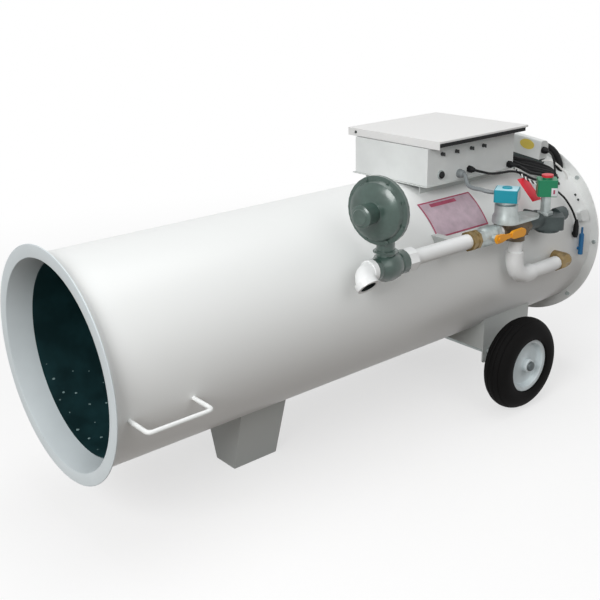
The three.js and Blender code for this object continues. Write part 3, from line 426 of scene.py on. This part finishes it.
def hollow_tube(bm, route, outer, inner):
    """An open pipe along a route, with its two end faces."""
    skins = [tube(bm, route, radius, sides=32, caps=False) for radius in (outer, inner)]
    for ends in zip(*skins):
        bmesh.ops.bridge_loops(bm, edges=ends[0] + ends[1])
    bmesh.ops.recalc_face_normals(bm, faces=bm.faces)


def on_drum(x, degrees, lift=0.0):
    """A point on the drum: degrees are from the top towards the gas train."""
    a = math.radians(degrees)
    r = DRUM + lift
    return Vector((x, -r * math.sin(a), r * math.cos(a)))


def body_of(node):
    """The body that carries a CAD node."""
    for name, nodes in frame["record"]["behaviour"]["bodies"].items():
        if node in nodes:
            return name
    raise ValueError(node)


def dress(node, material, edge=1.0, crease=32):
    """A CAD node copied, merged and given soft edges of a width in millimetres, standing for the node."""
    bm = bmesh.new()
    bm.from_mesh(frame["nodes"][node].data)
    bmesh.ops.remove_doubles(bm, verts=bm.verts, dist=0.01 * MM)
    bmesh.ops.dissolve_limit(
        bm, angle_limit=math.radians(2), use_dissolve_boundaries=False, verts=bm.verts, edges=bm.edges)
    if edge:
        sharp = [
            e for e in bm.edges
            if len(e.link_faces) == 2 and e.calc_face_angle(0) > math.radians(crease)]
        soften(bm, sharp, edge * MM, ())
    shown = piece(bm, node + "_dressed", body_of(node), material, (node,), crease, placed=True)
    # Flat faces keep their own normals beside a rounded edge.
    flats = shown.modifiers.new("flat_faces", "WEIGHTED_NORMAL")
    flats.keep_sharp = True


# ---------- settings ----------


def colour_setting(name, description, code):
    """A colour that a user can change, with its default as sRGB hex."""
    return FloatVectorProperty(
        name=name, description=description, subtype="COLOR", size=3, min=0, max=1,
        default=linear(code)[:3])


class HeaterLook(bpy.types.PropertyGroup):
    drum_colour: colour_setting("Drum", "Colour of the drum's enamel", "eceeed")
    stand_colour: colour_setting("Stand", "Colour of the leg and axle bracket", "c6cac8")
    floor_colour: colour_setting("Floor", "Colour that the floor lights the heater with", "6b625a")
    light: FloatProperty(
        name="Light", description="Strength of the lamps and the sky", default=1.0, min=0, max=5,
        subtype="FACTOR")


class HeaterSizes(bpy.types.PropertyGroup):
    wall: FloatProperty(
        name="Sheet", description="Thickness of the drum's sheet", default=0.002, min=0.001, max=0.006,
        unit="LENGTH")
    bolt: FloatProperty(
        name="Bolt", description="Width across the ring bolts' heads", default=0.014, min=0.008, max=0.02,
        unit="LENGTH")
    ring_bolts: IntProperty(
        name="Ring bolts", description="Bolts round the inlet ring", default=8, min=4, max=24)
    tread_grooves: IntProperty(
        name="Tread", description="Grooves round each tyre", default=4, min=1, max=7)


# ---------- pieces ----------


class HEATER_OT_finishes(bpy.types.Operator):
    """Make the materials and put one on every node of the frame"""

    bl_idname = "heater.finishes"
    bl_label = "Finishes"

    def execute(self, context):
        make_materials(context.scene.heater_look)
        slots = {s["node"]: s["material_slot"] for s in frame["record"]["subparts"]}
        for name, node in frame["nodes"].items():
            node.data.materials.clear()
            node.data.materials.append(MATERIALS[SLOTS[slots[name]]])
        return {"FINISHED"}


class HEATER_OT_drum(bpy.types.Operator):
    """Roll the drum's shell, its two end rings and the liner inside"""

    bl_idname = "heater.drum"
    bl_label = "Drum"

    def shell(self, wall):
        bm = bmesh.new()
        turned(bm, [
            (DRUM, SHELL_START), (DRUM, SHELL_END), (DRUM - wall, SHELL_END), (DRUM - wall, SHELL_START)],
            steps=DRUM_STEPS)
        piece(bm, "drum_shell", "heater", "white_enamel", ("outer_shell",))

    def outlet_flange(self):
        """The flat flange and the cone behind it, which narrows into the drum."""
        rim = 335.5
        plate = 4
        throat = 288
        depth = 80
        bm = bmesh.new()
        turned(bm, [
            (rim - 1.1, 0), (rim, 1), (rim, plate - 1), (rim - 1.1, plate), (301, plate), (throat, depth),
            (throat - 2, depth), (298, 3.2), (299.2, 0.7), (300.6, 0)], steps=DRUM_STEPS)
        piece(bm, "outlet_flange", "heater", "outlet_enamel", ("outlet_ring",), crease=28)

    def inlet_flange(self):
        """The flat flange at the fan end and the collar that fits inside the shell."""
        rim = 339
        edge = 0.8
        outside = INLET_FACE + 4
        collar_start = 1990
        bore = 300.7
        collar = bore + 2
        bm = bmesh.new()
        turned(bm, [
            (rim - edge, INLET_FACE), (rim, INLET_FACE + edge), (rim, outside - edge), (rim - edge, outside),
            (bore, outside), (bore, collar_start), (collar, collar_start), (collar, INLET_FACE)],
            steps=DRUM_STEPS)
        piece(bm, "inlet_flange", "heater", "white_enamel", ("inlet_ring",), crease=28)

    def liner(self, radius, wall):
        """The liner, held off the shell by two rings of spacer tabs."""
        start = 74
        end = 1480
        tabs = 12
        bm = bmesh.new()
        turned(bm, [(radius + wall, start), (radius + wall, end), (radius, end), (radius, start)], steps=128)
        for x in (300, 1300):
            for k in range(tabs):
                made = block(bm, (x, -26, radius + 0.5), (x + 3, 26, 300.4), edge=0.8)
                turn_about(bm, made, 360 / tabs * (k + 0.5), "X")
        piece(bm, "liner_tube", "heater", "scaled_steel", ("combustion_liner",))

    def ash(self, radius):
        """Flakes of ash that lie on the liner near the outlet."""
        bm = bmesh.new()
        for k in range(34):
            # Steps by unrelated fractions scatter the flakes, the same way each time.
            along = 90 + 330 * ((k * 0.7549) % 1) ** 1.5
            degrees = 112 + 84 * ((k * 0.5698) % 1)
            size = 1.6 + 2.8 * ((k * 0.618) % 1) ** 2
            made = bmesh.ops.create_icosphere(bm, subdivisions=1, radius=size)["verts"]
            bmesh.ops.scale(bm, vec=(1.4, 1, 0.25), verts=made)
            turn_about(bm, made, -degrees, "X")
            a = math.radians(degrees)
            bmesh.ops.translate(bm, verts=made, vec=(along, radius * math.sin(a), radius * math.cos(a)))
        piece(bm, "liner_ash", "heater", "ash_specks")

    def execute(self, context):
        bore = 282
        self.shell(context.scene.heater_sizes.wall / MM)
        self.outlet_flange()
        self.inlet_flange()
        self.liner(bore, 1.5)
        self.ash(bore - 0.4)
        return {"FINISHED"}


class HEATER_OT_inside(bpy.types.Operator):
    """Dress the burner, the motor, the fan and its guard"""

    bl_idname = "heater.inside"
    bl_label = "Burner and fan"

    def guard(self):
        """Three wire rings on eight spokes about a small disc."""
        x = 2029.3
        rings = (120, 220, 322)
        spokes = 8
        ring_steps = 96
        bm = bmesh.new()
        for radius in rings:
            turns = [2 * math.pi * k / ring_steps for k in range(ring_steps + 1)]
            route = [Vector((x, radius * math.sin(a), radius * math.cos(a))) for a in turns]
            tube(bm, route, 2.6, sides=10)
        for k in range(spokes):
            made = rod(bm, 2.4, 30, rings[-1], "z", (x, 0, 0), sides=8, edge=0.3)
            turn_about(bm, made, 360 / spokes * (k + 0.5), "X", (x, 0, 0))
        rod(bm, 36, x - 2, x + 2, "x", sides=48, edge=0.8)
        piece(bm, "guard_wires", "heater", "zinc_plate", ("inlet_guard",))

    def execute(self, context):
        dress("burner_cone", "oily_steel", 0, crease=30)
        dress("burner_manifold", "oily_steel", 0, crease=30)
        dress("fan_motor", "oily_steel", 0.8, crease=28)
        dress("motor_cradle", "grey_enamel", 0.5)
        dress("fan", "oily_steel", 0.4)
        self.guard()
        return {"FINISHED"}


class HEATER_OT_stand(bpy.types.Operator):
    """Fold the front leg and the axle bracket, and turn the axle"""

    bl_idname = "heater.stand"
    bl_label = "Leg and bracket"

    def execute(self, context):
        dress("front_leg", "grey_enamel", 1.6)
        dress("rear_bracket", "grey_enamel", 1.0)
        half = 416
        bm = bmesh.new()
        rod(bm, 12.5, -half, half, "y", AXLE, edge=1.5)
        piece(bm, "axle_bar", "heater", "zinc_plate", ("axle",))
        return {"FINISHED"}


class HEATER_OT_wheels(bpy.types.Operator):
    """Mould the tyres with their tread and press the wheel discs"""

    bl_idname = "heater.wheels"
    bl_label = "Wheels"

    def tyre(self, side, name, grooves):
        """A round carcass with its tread cut in, closed by two straight beads on the rim."""
        core = 115.6
        section = 50.3
        steps = 76
        reach = math.radians(113)
        tread = math.radians(60)
        pitch = 18
        groove_half = 2.4
        groove_depth = 3.2
        middles = [pitch * (k - (grooves - 1) / 2) for k in range(grooves)]
        profile = []
        for i in range(steps + 1):
            a = -reach + 2 * reach * i / steps
            s = section * math.sin(a)
            r = core + section * math.cos(a)
            for middle in middles:
                gap = abs(s - middle)
                if abs(a) < tread and gap < groove_half:
                    r -= groove_depth * (1 - (gap / groove_half) ** 4)
            profile.append((r, side * s))
        profile += [
            (95.2, side * 36.2), (83.4, side * 32.6), (83.4, -side * 32.6), (95.2, -side * 36.2)]
        bm = bmesh.new()
        turned(bm, profile, "y", AXLE + Vector((0, side * WHEEL_Y, 0)), steps=144)
        piece(bm, name + "_tyre_rubber", name + "_wheel", "tyre_rubber", (name + "_tyre",), crease=50)

    def disc(self, side, name):
        """The pressed disc with its rim, and the cap on the axle's end, as (radius, distance outwards)."""
        centre = AXLE + Vector((0, side * WHEEL_Y, 0))
        rim = [
            (12.9, 45), (22, 45), (24, 43), (24, 26), (27, 22.5), (50, 17), (68, 15.5), (75, 17),
            (78.5, 22), (79.5, 33), (82, 36.5), (88, 37.2), (92, 38.5), (94.2, 38), (94.7, 36.5),
            (83, 33), (83, -33), (94.7, -36.5), (92.5, -38.5), (79, -35), (79, 9.5), (76, 8.5),
            (50, 12), (27, 18), (24, 19), (24, -48), (12.9, -48)]
        bm = bmesh.new()
        turned(bm, [(r, side * s) for r, s in rim], "y", centre)
        piece(bm, name + "_wheel_disc", name + "_wheel", "wheel_enamel", (name + "_rim",), crease=40)
        cap = [
            (0, 56.5), (6, 56.3), (11, 55.2), (15, 52.6), (17.2, 48.8), (17.5, 45.6), (12.8, 45.6),
            (12.8, 51.2), (0, 51.2)]
        bm = bmesh.new()
        turned(bm, [(r, side * s) for r, s in cap], "y", centre, steps=48, closed=False)
        piece(bm, name + "_cap", "heater", "hub_steel", (name + "_hub_cap",))

    def execute(self, context):
        for side, name in ((-1, "near"), (1, "far")):
            self.tyre(side, name, context.scene.heater_sizes.tread_grooves)
            self.disc(side, name)
        return {"FINISHED"}


class HEATER_OT_handles(bpy.types.Operator):
    """Bend the two carrying handles"""

    bl_idname = "heater.handles"
    bl_label = "Handles"

    def execute(self, context):
        foot = 290
        grip = 388
        z = -65
        front = 54
        back = 245
        for side, name in ((-1, "near"), (1, "far")):
            corners = [
                (front, side * foot, z), (front, side * grip, z), (back, side * grip, z),
                (back, side * foot, z)]
            bm = bmesh.new()
            tube(bm, cornered_route(corners, 17), 6.5, sides=20)
            piece(bm, name + "_handle_bar", "heater", "white_enamel", (name + "_handle",))
        return {"FINISHED"}


class HEATER_OT_control_box(bpy.types.Operator):
    """Fold the control box and its lid, and fit the switches and the button"""

    bl_idname = "heater.control_box"
    bl_label = "Control box"

    def execute(self, context):
        dress("control_box", "box_enamel", 0.9)
        dress("box_lid", "lid_enamel", 1.2)
        dress("lid_seal", "cable_rubber", 0.8)
        dress("lid_hinge", "zinc_plate", 0.3)
        dress("box_saddle", "grey_enamel", 0.6)
        for k in range(4):
            dress("switch_%d" % (k + 1), "switch_nylon", 0.5)
        dress("reset_button", "black_nylon", 0.4, crease=28)
        bezel = [(12.2, 0), (12.2, 3.6), (13, 5), (14.4, 4.6), (15, 3), (15, 0)]
        bm = bmesh.new()
        turned(bm, [(r, -BOX_HALF - out) for r, out in bezel], "y", (1329, 0, 339), steps=48)
        piece(bm, "button_bezel", "heater", "zinc_plate")
        # One screw shows in the end of the lid's skirt, and opens with it.
        bm = bmesh.new()
        rod(bm, 5, 1268.6, 1271.4, "x", (0, 174, 446), sides=24, edge=0.8)
        piece(bm, "lid_side_screw", "lid", "oily_steel")
        return {"FINISHED"}


class HEATER_OT_wiring(bpy.types.Operator):
    """Run the cables and the conduit from the control box"""

    bl_idname = "heater.wiring"
    bl_label = "Cables"

    def more_strands(self):
        """Strands of the same black bundle that lie between the three thick ones."""
        bm = bmesh.new()
        for points in (
            [(BOX_END + 24, -118, 336), (BOX_END + 42, -124, 329), on_drum(BOX_END + 72, 25.5, 40),
             on_drum(BOX_END + 112, 29.6, 38), on_drum(BOX_END + 158, 33, 31),
             on_drum(BOX_END + 201, 36, 21), on_drum(BOX_END + 228, 38.6, 6)],
            [(BOX_END + 21, -122, 333), (BOX_END + 36, -137, 319), on_drum(BOX_END + 60, 29.5, 36),
             on_drum(BOX_END + 101, 33.2, 32), on_drum(BOX_END + 149, 36, 26),
             on_drum(BOX_END + 198, 38.6, 17), on_drum(BOX_END + 226, 40.2, 5)]):
            tube(bm, smooth_route(points), 7.5, sides=18)
        piece(bm, "cable_strands", "heater", "cable_rubber", crease=50)

    def twisted_pair(self, points):
        """A black and a white wire twisted together, from the box to the green coil."""
        twist = math.pi / 5
        apart = 2.6
        centre = smooth_route(points, 16)
        for start, colour, material in ((0, "black", "cable_rubber"), (math.pi, "white", "white_sheath")):
            route = []
            for i, point in enumerate(centre):
                ahead = heading(centre, i)
                side = ahead.cross(Vector((1, 0, 0))).normalized()
                rise = ahead.cross(side).normalized()
                angle = start + i * twist
                route.append(point + (side * math.cos(angle) + rise * math.sin(angle)) * apart)
            bm = bmesh.new()
            tube(bm, route, 2.3, sides=10)
            piece(bm, colour + "_coil_wire", "heater", material)

    def execute(self, context):
        dress("signal_cable", "cable_rubber", 0, crease=50)
        dress("power_cable", "cable_rubber", 0, crease=50)
        self.more_strands()
        dress("conduit", "grey_sheath", 0, crease=50)
        dress("earth_lead", "white_sheath", 0, crease=50)
        dress("igniter_lead", "cable_rubber", 0, crease=50)
        dress("flame_lead", "cable_rubber", 0, crease=50)
        self.twisted_pair([
            (1707, -130, 322), (1721, -160, 306), (1706, -190, 296), (1682, -235, 289),
            (1663, -275, 284), (1655, -314, 279)])
        return {"FINISHED"}


class HEATER_OT_ignition(bpy.types.Operator):
    """Dress the ignition transformer, the flame sensor and the cover on the drum"""

    bl_idname = "heater.ignition"
    bl_label = "Ignition"

    def execute(self, context):
        dress("ignition_transformer", "box_enamel", 1.5)
        dress("transformer_base", "grey_casting", 0.8)
        dress("flame_sensor", "sensor_nylon", 0.8, crease=40)
        dress("service_cover", "box_enamel", 1.5)
        return {"FINISHED"}


class HEATER_OT_gas_train(bpy.types.Operator):
    """Dress the regulator, the pipes, the valves and their coils"""

    bl_idname = "heater.gas_train"
    bl_label = "Gas train"

    def painted_bore_shade(self):
        """A dark sleeve inside the bore of the inlet elbow, seen in its open mouth: painted shade that
        stands for the shadow deep in the bore.
        """
        corner = 798
        arm = 45.5
        slope = arm * math.sqrt(0.5)
        route = cornered_route([
            (corner + arm, PIPE_Y, PIPE_Z), (corner, PIPE_Y, PIPE_Z),
            (corner, PIPE_Y - slope, PIPE_Z - slope)], 44)
        bm = bmesh.new()
        hollow_tube(bm, route, 23.8, 23.2)
        # The sleeve's dark oily steel is painted shade, not a real lining.
        piece(bm, "inlet_bore_painted_shade", "heater", "oily_steel")

    def execute(self, context):
        dress("inlet_elbow", "pipe_enamel", 1.0)
        dress("regulator_body", "green_casting", 1.5)
        dress("diaphragm_cover", "green_casting", 1.2)
        dress("spring_cap", "green_casting", 0.8)
        dress("supply_pipe", "pipe_enamel", 1.0)
        dress("brass_union", "dull_brass", 0.8)
        dress("ball_valve", "zinc_plate", 0.8)
        dress("valve_lever", "yellow_vinyl", 1.2)
        dress("link_pipe", "pipe_enamel", 0)
        dress("pipe_support", "grey_enamel", 0.8)
        dress("main_valve", "cast_bronze", 2.0)
        dress("main_valve_bonnet", "zinc_plate", 1.0)
        dress("blue_coil", "blue_nylon", 1.5)
        dress("second_valve", "grey_casting", 2.5)
        dress("second_valve_stem", "zinc_plate", 0.6)
        dress("green_coil", "green_nylon", 1.5)
        dress("coil_cap", "red_nylon", 1.0)
        dress("burner_pipe", "pipe_enamel", 0.8)
        dress("brass_elbow", "dull_brass", 0.8)
        bm = bmesh.new()
        nut(bm, 31, 24.2, 1749, 1772.6, (0, PIPE_Y, -15))
        piece(bm, "brass_elbow_nut", "heater", "dull_brass")
        self.painted_bore_shade()
        return {"FINISHED"}


class HEATER_OT_plates(bpy.types.Operator):
    """Lay the bare rating plate on the drum, stick the labels, lay painted sheen on the blue coil's top and
    hang the tag
    """

    bl_idname = "heater.plates"
    bl_label = "Plates and tag"

    def curved_plate(self, name, material, strips, lift, thick):
        """Thin strips that follow the drum: each from x0 to x1, and from one angle to another."""
        bm = bmesh.new()
        for x0, x1, top, bottom in strips:
            start = on_drum(0, top, lift)
            verts = [bm.verts.new((x, start.y, start.z)) for x in (x0, x1)]
            edge = bm.edges.new(verts)
            bmesh.ops.spin(
                bm, geom=verts + [edge], cent=(0, 0, 0), axis=(1, 0, 0), dvec=(0, 0, 0),
                angle=math.radians(bottom - top), steps=max(3, round(bottom - top)), use_merge=False,
                use_duplicate=False)
        bmesh.ops.recalc_face_normals(bm, faces=bm.faces)
        bmesh.ops.solidify(bm, geom=list(bm.faces), thickness=thick)
        bmesh.ops.recalc_face_normals(bm, faces=bm.faces)
        piece(bm, name, "heater", material)

    def rating_plate(self):
        """The plate with its border and header bar. The angles are from the drum's top."""
        left = 1221
        right = 1475
        top = 33
        bottom = 58
        # The border is a line of this width, a millimetre in from the plate's ends.
        line = 5
        turn = math.degrees(line / DRUM)
        inner_left = left + 1 + line
        inner_right = right - 1 - line
        self.curved_plate("rating_plate", "plate_print", [(left, right, top, bottom)], 0.9, 0.6)
        self.curved_plate("rating_plate_border", "plate_border", [
            (left + 1, inner_left, top, bottom), (inner_right, right - 1, top, bottom),
            (inner_left, inner_right, top, top + turn),
            (inner_left, inner_right, bottom - turn, bottom)], 1.7, 0.3)
        header = (left + 47, right - 83, top + 2, top + 4.6)
        self.curved_plate("rating_plate_header", "plate_border", [header], 1.7, 0.3)

    def coil_label_and_sheen(self, name, material, low, high, at, turn):
        """A thin sheet on a coil that is turned about its stem: a bare label, and on the blue coil's top a
        sheet of painted sheen.
        """
        bm = bmesh.new()
        made = block(bm, low, high, edge=0.15)
        turn_about(bm, made, turn, "Z")
        bmesh.ops.translate(bm, verts=made, vec=at)
        piece(bm, name, "heater", material)

    def oval_label(self):
        """An oval plate on the front of the ignition transformer, tilted as the transformer is."""
        bm = bmesh.new()
        made = bmesh.ops.create_cone(
            bm, cap_ends=True, segments=64, radius1=1, radius2=1, depth=1.2)["verts"]
        bmesh.ops.scale(bm, vec=(18, 32, 1), verts=made)
        to_axis(bm, made, "x", (0, 0, 0))
        turn_about(bm, made, 7, "X")
        bmesh.ops.translate(bm, verts=made, vec=(1884.8, -94, 355.5))
        piece(bm, "transformer_label", "heater", "label_yellow")

    def tag(self):
        """A card that hangs from the pair of wires, between the two coils."""
        bm = bmesh.new()
        made = block(bm, (-25, -0.4, -94), (25, 0.4, 2), edge=0.25)
        turn_about(bm, made, -46, "X")
        bmesh.ops.translate(bm, verts=made, vec=(1668, -242, 283))
        piece(bm, "hanging_tag", "heater", "tag_card")

    def execute(self, context):
        self.rating_plate()
        # Each coil's X, its turn, and its labels from corner to corner before the turn. The blue coil's pale
        # blue top sheet is no label but painted sheen.
        for coil, x, turn, labels in (
            ("blue_coil", 1448, 31, (
                ("side", "label_white", (-34, -38.6, 267), (35, -37.8, 300)),
                # Painted sheen: a pale blue sheet over the blue coil's whole top, where the light falls on
                # it.
                ("top", "painted_sheen_pale_blue", (-35, -35, 303.8), (35, 35, 304.6)))),
            ("green_coil", 1662, 42, (
                ("front", "label_white", (-33.6, -32.4, 248), (-32.8, -12, 276)),
                ("side", "label_white", (-32.4, -33.6, 248), (30, -32.8, 276)),
                ("bar", "plate_border", (-34, -24, 256), (-33.4, -18, 270))))):
            for face, material, low, high in labels:
                self.coil_label_and_sheen(coil + "_" + face + "_label", material, low, high, (x, PIPE_Y, 0), turn)
        self.oval_label()
        self.tag()
        return {"FINISHED"}


class HEATER_OT_fasteners(bpy.types.Operator):
    """Set the bolts of the inlet ring and the screws beside it"""

    bl_idname = "heater.fasteners"
    bl_label = "Fasteners"

    def execute(self, context):
        sizes = context.scene.heater_sizes
        circle = 324
        height = 7
        bm = bmesh.new()
        for k in range(sizes.ring_bolts):
            a = 2 * math.pi * k / sizes.ring_bolts
            at = (INLET_FACE - height, circle * math.cos(a), circle * math.sin(a))
            hex_head(bm, sizes.bolt / MM, height, "x", at)
        piece(bm, "ring_bolts", "heater", "zinc_plate")
        bm = bmesh.new()
        for x, degrees in ((1982, 55.4), (1986, 59.3)):
            made = rod(bm, 4.5, -0.5, 3.5, "z", sides=20, edge=0.8)
            turn_about(bm, made, degrees, "X")
            bmesh.ops.translate(bm, verts=made, vec=on_drum(x, degrees))
        piece(bm, "shell_screws", "heater", "oily_steel")
        return {"FINISHED"}


# ---------- stage ----------

# Each lamp's place and aim in metres, the width of its disc in metres, and its power in watts.
LAMPS = (
    ("top", (0.3, 0.1, 5.0), (0, 0, 0.5), 3.5, 63),
    ("key", (-4.6, -1.9, 3.2), (0, 0, 0.5), 2.6, 160),
    ("front", (-0.6, -4.2, 3.0), (0, 0, 0.4), 2.8, 26),
)
# Strength of the sky that lights the heater. It is seen at strength 1, which is white.
SKY = 0.38
# The photograph's camera: its direction and roll in degrees, its focal length in pixels of a
# picture 600 wide, and its place in millimetres from the outlet.
AZIMUTH = -39.424
ELEVATION = 20.179
ROLL = -1.305
FOCAL_PIXELS = 914.753
PICTURE_PIXELS = 600
EYE = Vector((-910.639, -2152.464, 998.248))


class HEATER_OT_stage(bpy.types.Operator):
    """Set the floor, the lamps, the background and the camera"""

    bl_idname = "heater.stage"
    bl_label = "Stage"

    def lamp(self, name, spot, aim, size, power):
        light = bpy.data.lights.new(name, "AREA")
        light.shape = "DISK"
        light.size = size
        light.energy = power
        shown = bpy.data.objects.new(name, light)
        bpy.context.collection.objects.link(shown)
        shown.location = spot
        shown.rotation_euler = (Vector(aim) - Vector(spot)).to_track_quat("-Z", "Y").to_euler()

    def where_seen(self, tree, lighting, shown):
        """One shader for rays that carry light and another for what is seen, straight or in a gloss."""
        rays = add(tree, "ShaderNodeLightPath")
        gloss = add(tree, "ShaderNodeMath", {"operation": "MAXIMUM"})
        tree.links.new(rays.outputs["Is Glossy Ray"], gloss.inputs[0])
        tree.links.new(rays.outputs["Is Transmission Ray"], gloss.inputs[1])
        seen = add(tree, "ShaderNodeMath", {"operation": "MAXIMUM"})
        tree.links.new(rays.outputs["Is Camera Ray"], seen.inputs[0])
        tree.links.new(gloss.outputs["Value"], seen.inputs[1])
        mix = add(tree, "ShaderNodeMixShader", Fac=seen.outputs["Value"])
        tree.links.new(lighting, mix.inputs[1])
        tree.links.new(shown, mix.inputs[2])
        return mix.outputs["Shader"]

    def floor_paint(self, colour):
        """A floor that gives back little light, and looks white but for the heater's soft shadow."""
        material = bpy.data.materials.new("floor_paint")
        material.use_nodes = True
        tree = material.node_tree
        tree.nodes.clear()
        dull = add(tree, "ShaderNodeBsdfDiffuse", {"Color": (*colour, 1)})
        shadowed = add(tree, "ShaderNodeBsdfDiffuse", {"Color": (1, 1, 1, 1)})
        white = add(tree, "ShaderNodeEmission", {"Color": (1, 1, 1, 1), "Strength": 1.0})
        place_on = add(tree, "ShaderNodeTexCoord")
        distance = add(
            tree, "ShaderNodeVectorMath", {"operation": "LENGTH"}, Vector=place_on.outputs["Object"])
        # Fades to pure white between 1 m and 3.6 m out, so that no horizon shows.
        fade = add(tree, "ShaderNodeMapRange", {
            "interpolation_type": "SMOOTHSTEP", "From Min": 1.0, "From Max": 3.6, "To Min": 0.62,
            "To Max": 1.0}, Value=distance.outputs["Value"])
        shown = add(tree, "ShaderNodeMixShader", Fac=fade.outputs["Result"])
        tree.links.new(shadowed.outputs["BSDF"], shown.inputs[1])
        tree.links.new(white.outputs["Emission"], shown.inputs[2])
        out = add(tree, "ShaderNodeOutputMaterial")
        paint = self.where_seen(tree, dull.outputs["BSDF"], shown.outputs["Shader"])
        tree.links.new(paint, out.inputs["Surface"])
        return material

    def floor(self, colour):
        half = 60
        bm = bmesh.new()
        bmesh.ops.create_grid(bm, x_segments=1, y_segments=1, size=half)
        mesh = bpy.data.meshes.new("floor")
        bm.to_mesh(mesh)
        bm.free()
        mesh.materials.append(self.floor_paint(colour))
        floor = bpy.data.objects.new("floor", mesh)
        bpy.context.collection.objects.link(floor)

    def sky(self, scene):
        world = bpy.data.worlds.new("studio")
        scene.world = world
        world.use_nodes = True
        tree = world.node_tree
        tree.nodes.clear()
        strength = SKY * scene.heater_look.light
        soft = add(tree, "ShaderNodeBackground", {"Color": (1, 1, 1, 1), "Strength": strength})
        white = add(tree, "ShaderNodeBackground", {"Color": (1, 1, 1, 1), "Strength": 1.0})
        out = add(tree, "ShaderNodeOutputWorld")
        sky = self.where_seen(tree, soft.outputs["Background"], white.outputs["Background"])
        tree.links.new(sky, out.inputs["Surface"])

    def camera(self, scene):
        """Stands where the photograph was taken from, rolled as that camera was."""
        az = math.radians(AZIMUTH)
        el = math.radians(ELEVATION)
        roll = math.radians(ROLL)
        back = Vector((math.sin(az) * math.cos(el), -math.cos(az) * math.cos(el), math.sin(el)))
        right = (-back).cross(Vector((0, 0, 1))).normalized()
        up = right.cross(-back)
        side = math.cos(roll) * right + math.sin(roll) * up
        rise = -math.sin(roll) * right + math.cos(roll) * up
        camera = bpy.data.cameras.new("camera")
        camera.sensor_width = 36
        camera.lens = FOCAL_PIXELS / PICTURE_PIXELS * camera.sensor_width
        camera.clip_end = 200
        shown = bpy.data.objects.new("camera", camera)
        bpy.context.collection.objects.link(shown)
        turn = Matrix((side, rise, back)).transposed()
        shown.matrix_world = Matrix.Translation(ORIGIN + EYE * MM) @ turn.to_4x4()
        scene.camera = shown

    def execute(self, context):
        scene = context.scene
        look = scene.heater_look
        self.floor(look.floor_colour)
        self.sky(scene)
        for name, spot, aim, size, power in LAMPS:
            self.lamp(name, spot, aim, size, power * look.light)
        self.camera(scene)
        scene.view_settings.view_transform = "Standard"
        return {"FINISHED"}


STEPS = (
    HEATER_OT_finishes, HEATER_OT_drum, HEATER_OT_inside, HEATER_OT_stand, HEATER_OT_wheels,
    HEATER_OT_handles, HEATER_OT_control_box, HEATER_OT_wiring, HEATER_OT_ignition, HEATER_OT_gas_train,
    HEATER_OT_plates, HEATER_OT_fasteners, HEATER_OT_stage)


class HEATER_PT_panel(bpy.types.Panel):
    """The heater's settings and steps, in the order they run"""

    bl_idname = "HEATER_PT_panel"
    bl_label = "Forced Air Heater"
    bl_space_type = "VIEW_3D"
    bl_region_type = "UI"
    bl_category = "Heater"

    def draw(self, context):
        for group in (context.scene.heater_look, context.scene.heater_sizes):
            for name in group.__annotations__:
                self.layout.prop(group, name)
        for step in STEPS:
            self.layout.operator(step.bl_idname)


CLASSES = (HeaterLook, HeaterSizes, *STEPS, HEATER_PT_panel)


def register():
    for cls in CLASSES:
        bpy.utils.register_class(cls)
    bpy.types.Scene.heater_look = PointerProperty(type=HeaterLook)
    bpy.types.Scene.heater_sizes = PointerProperty(type=HeaterSizes)


def unregister():
    del bpy.types.Scene.heater_sizes
    del bpy.types.Scene.heater_look
    for cls in reversed(CLASSES):
        bpy.utils.unregister_class(cls)


def main():
    register()
    for step in STEPS:
        group, name = step.bl_idname.split(".")
        getattr(getattr(bpy.ops, group), name)()


if __name__ == "__main__":
    main()
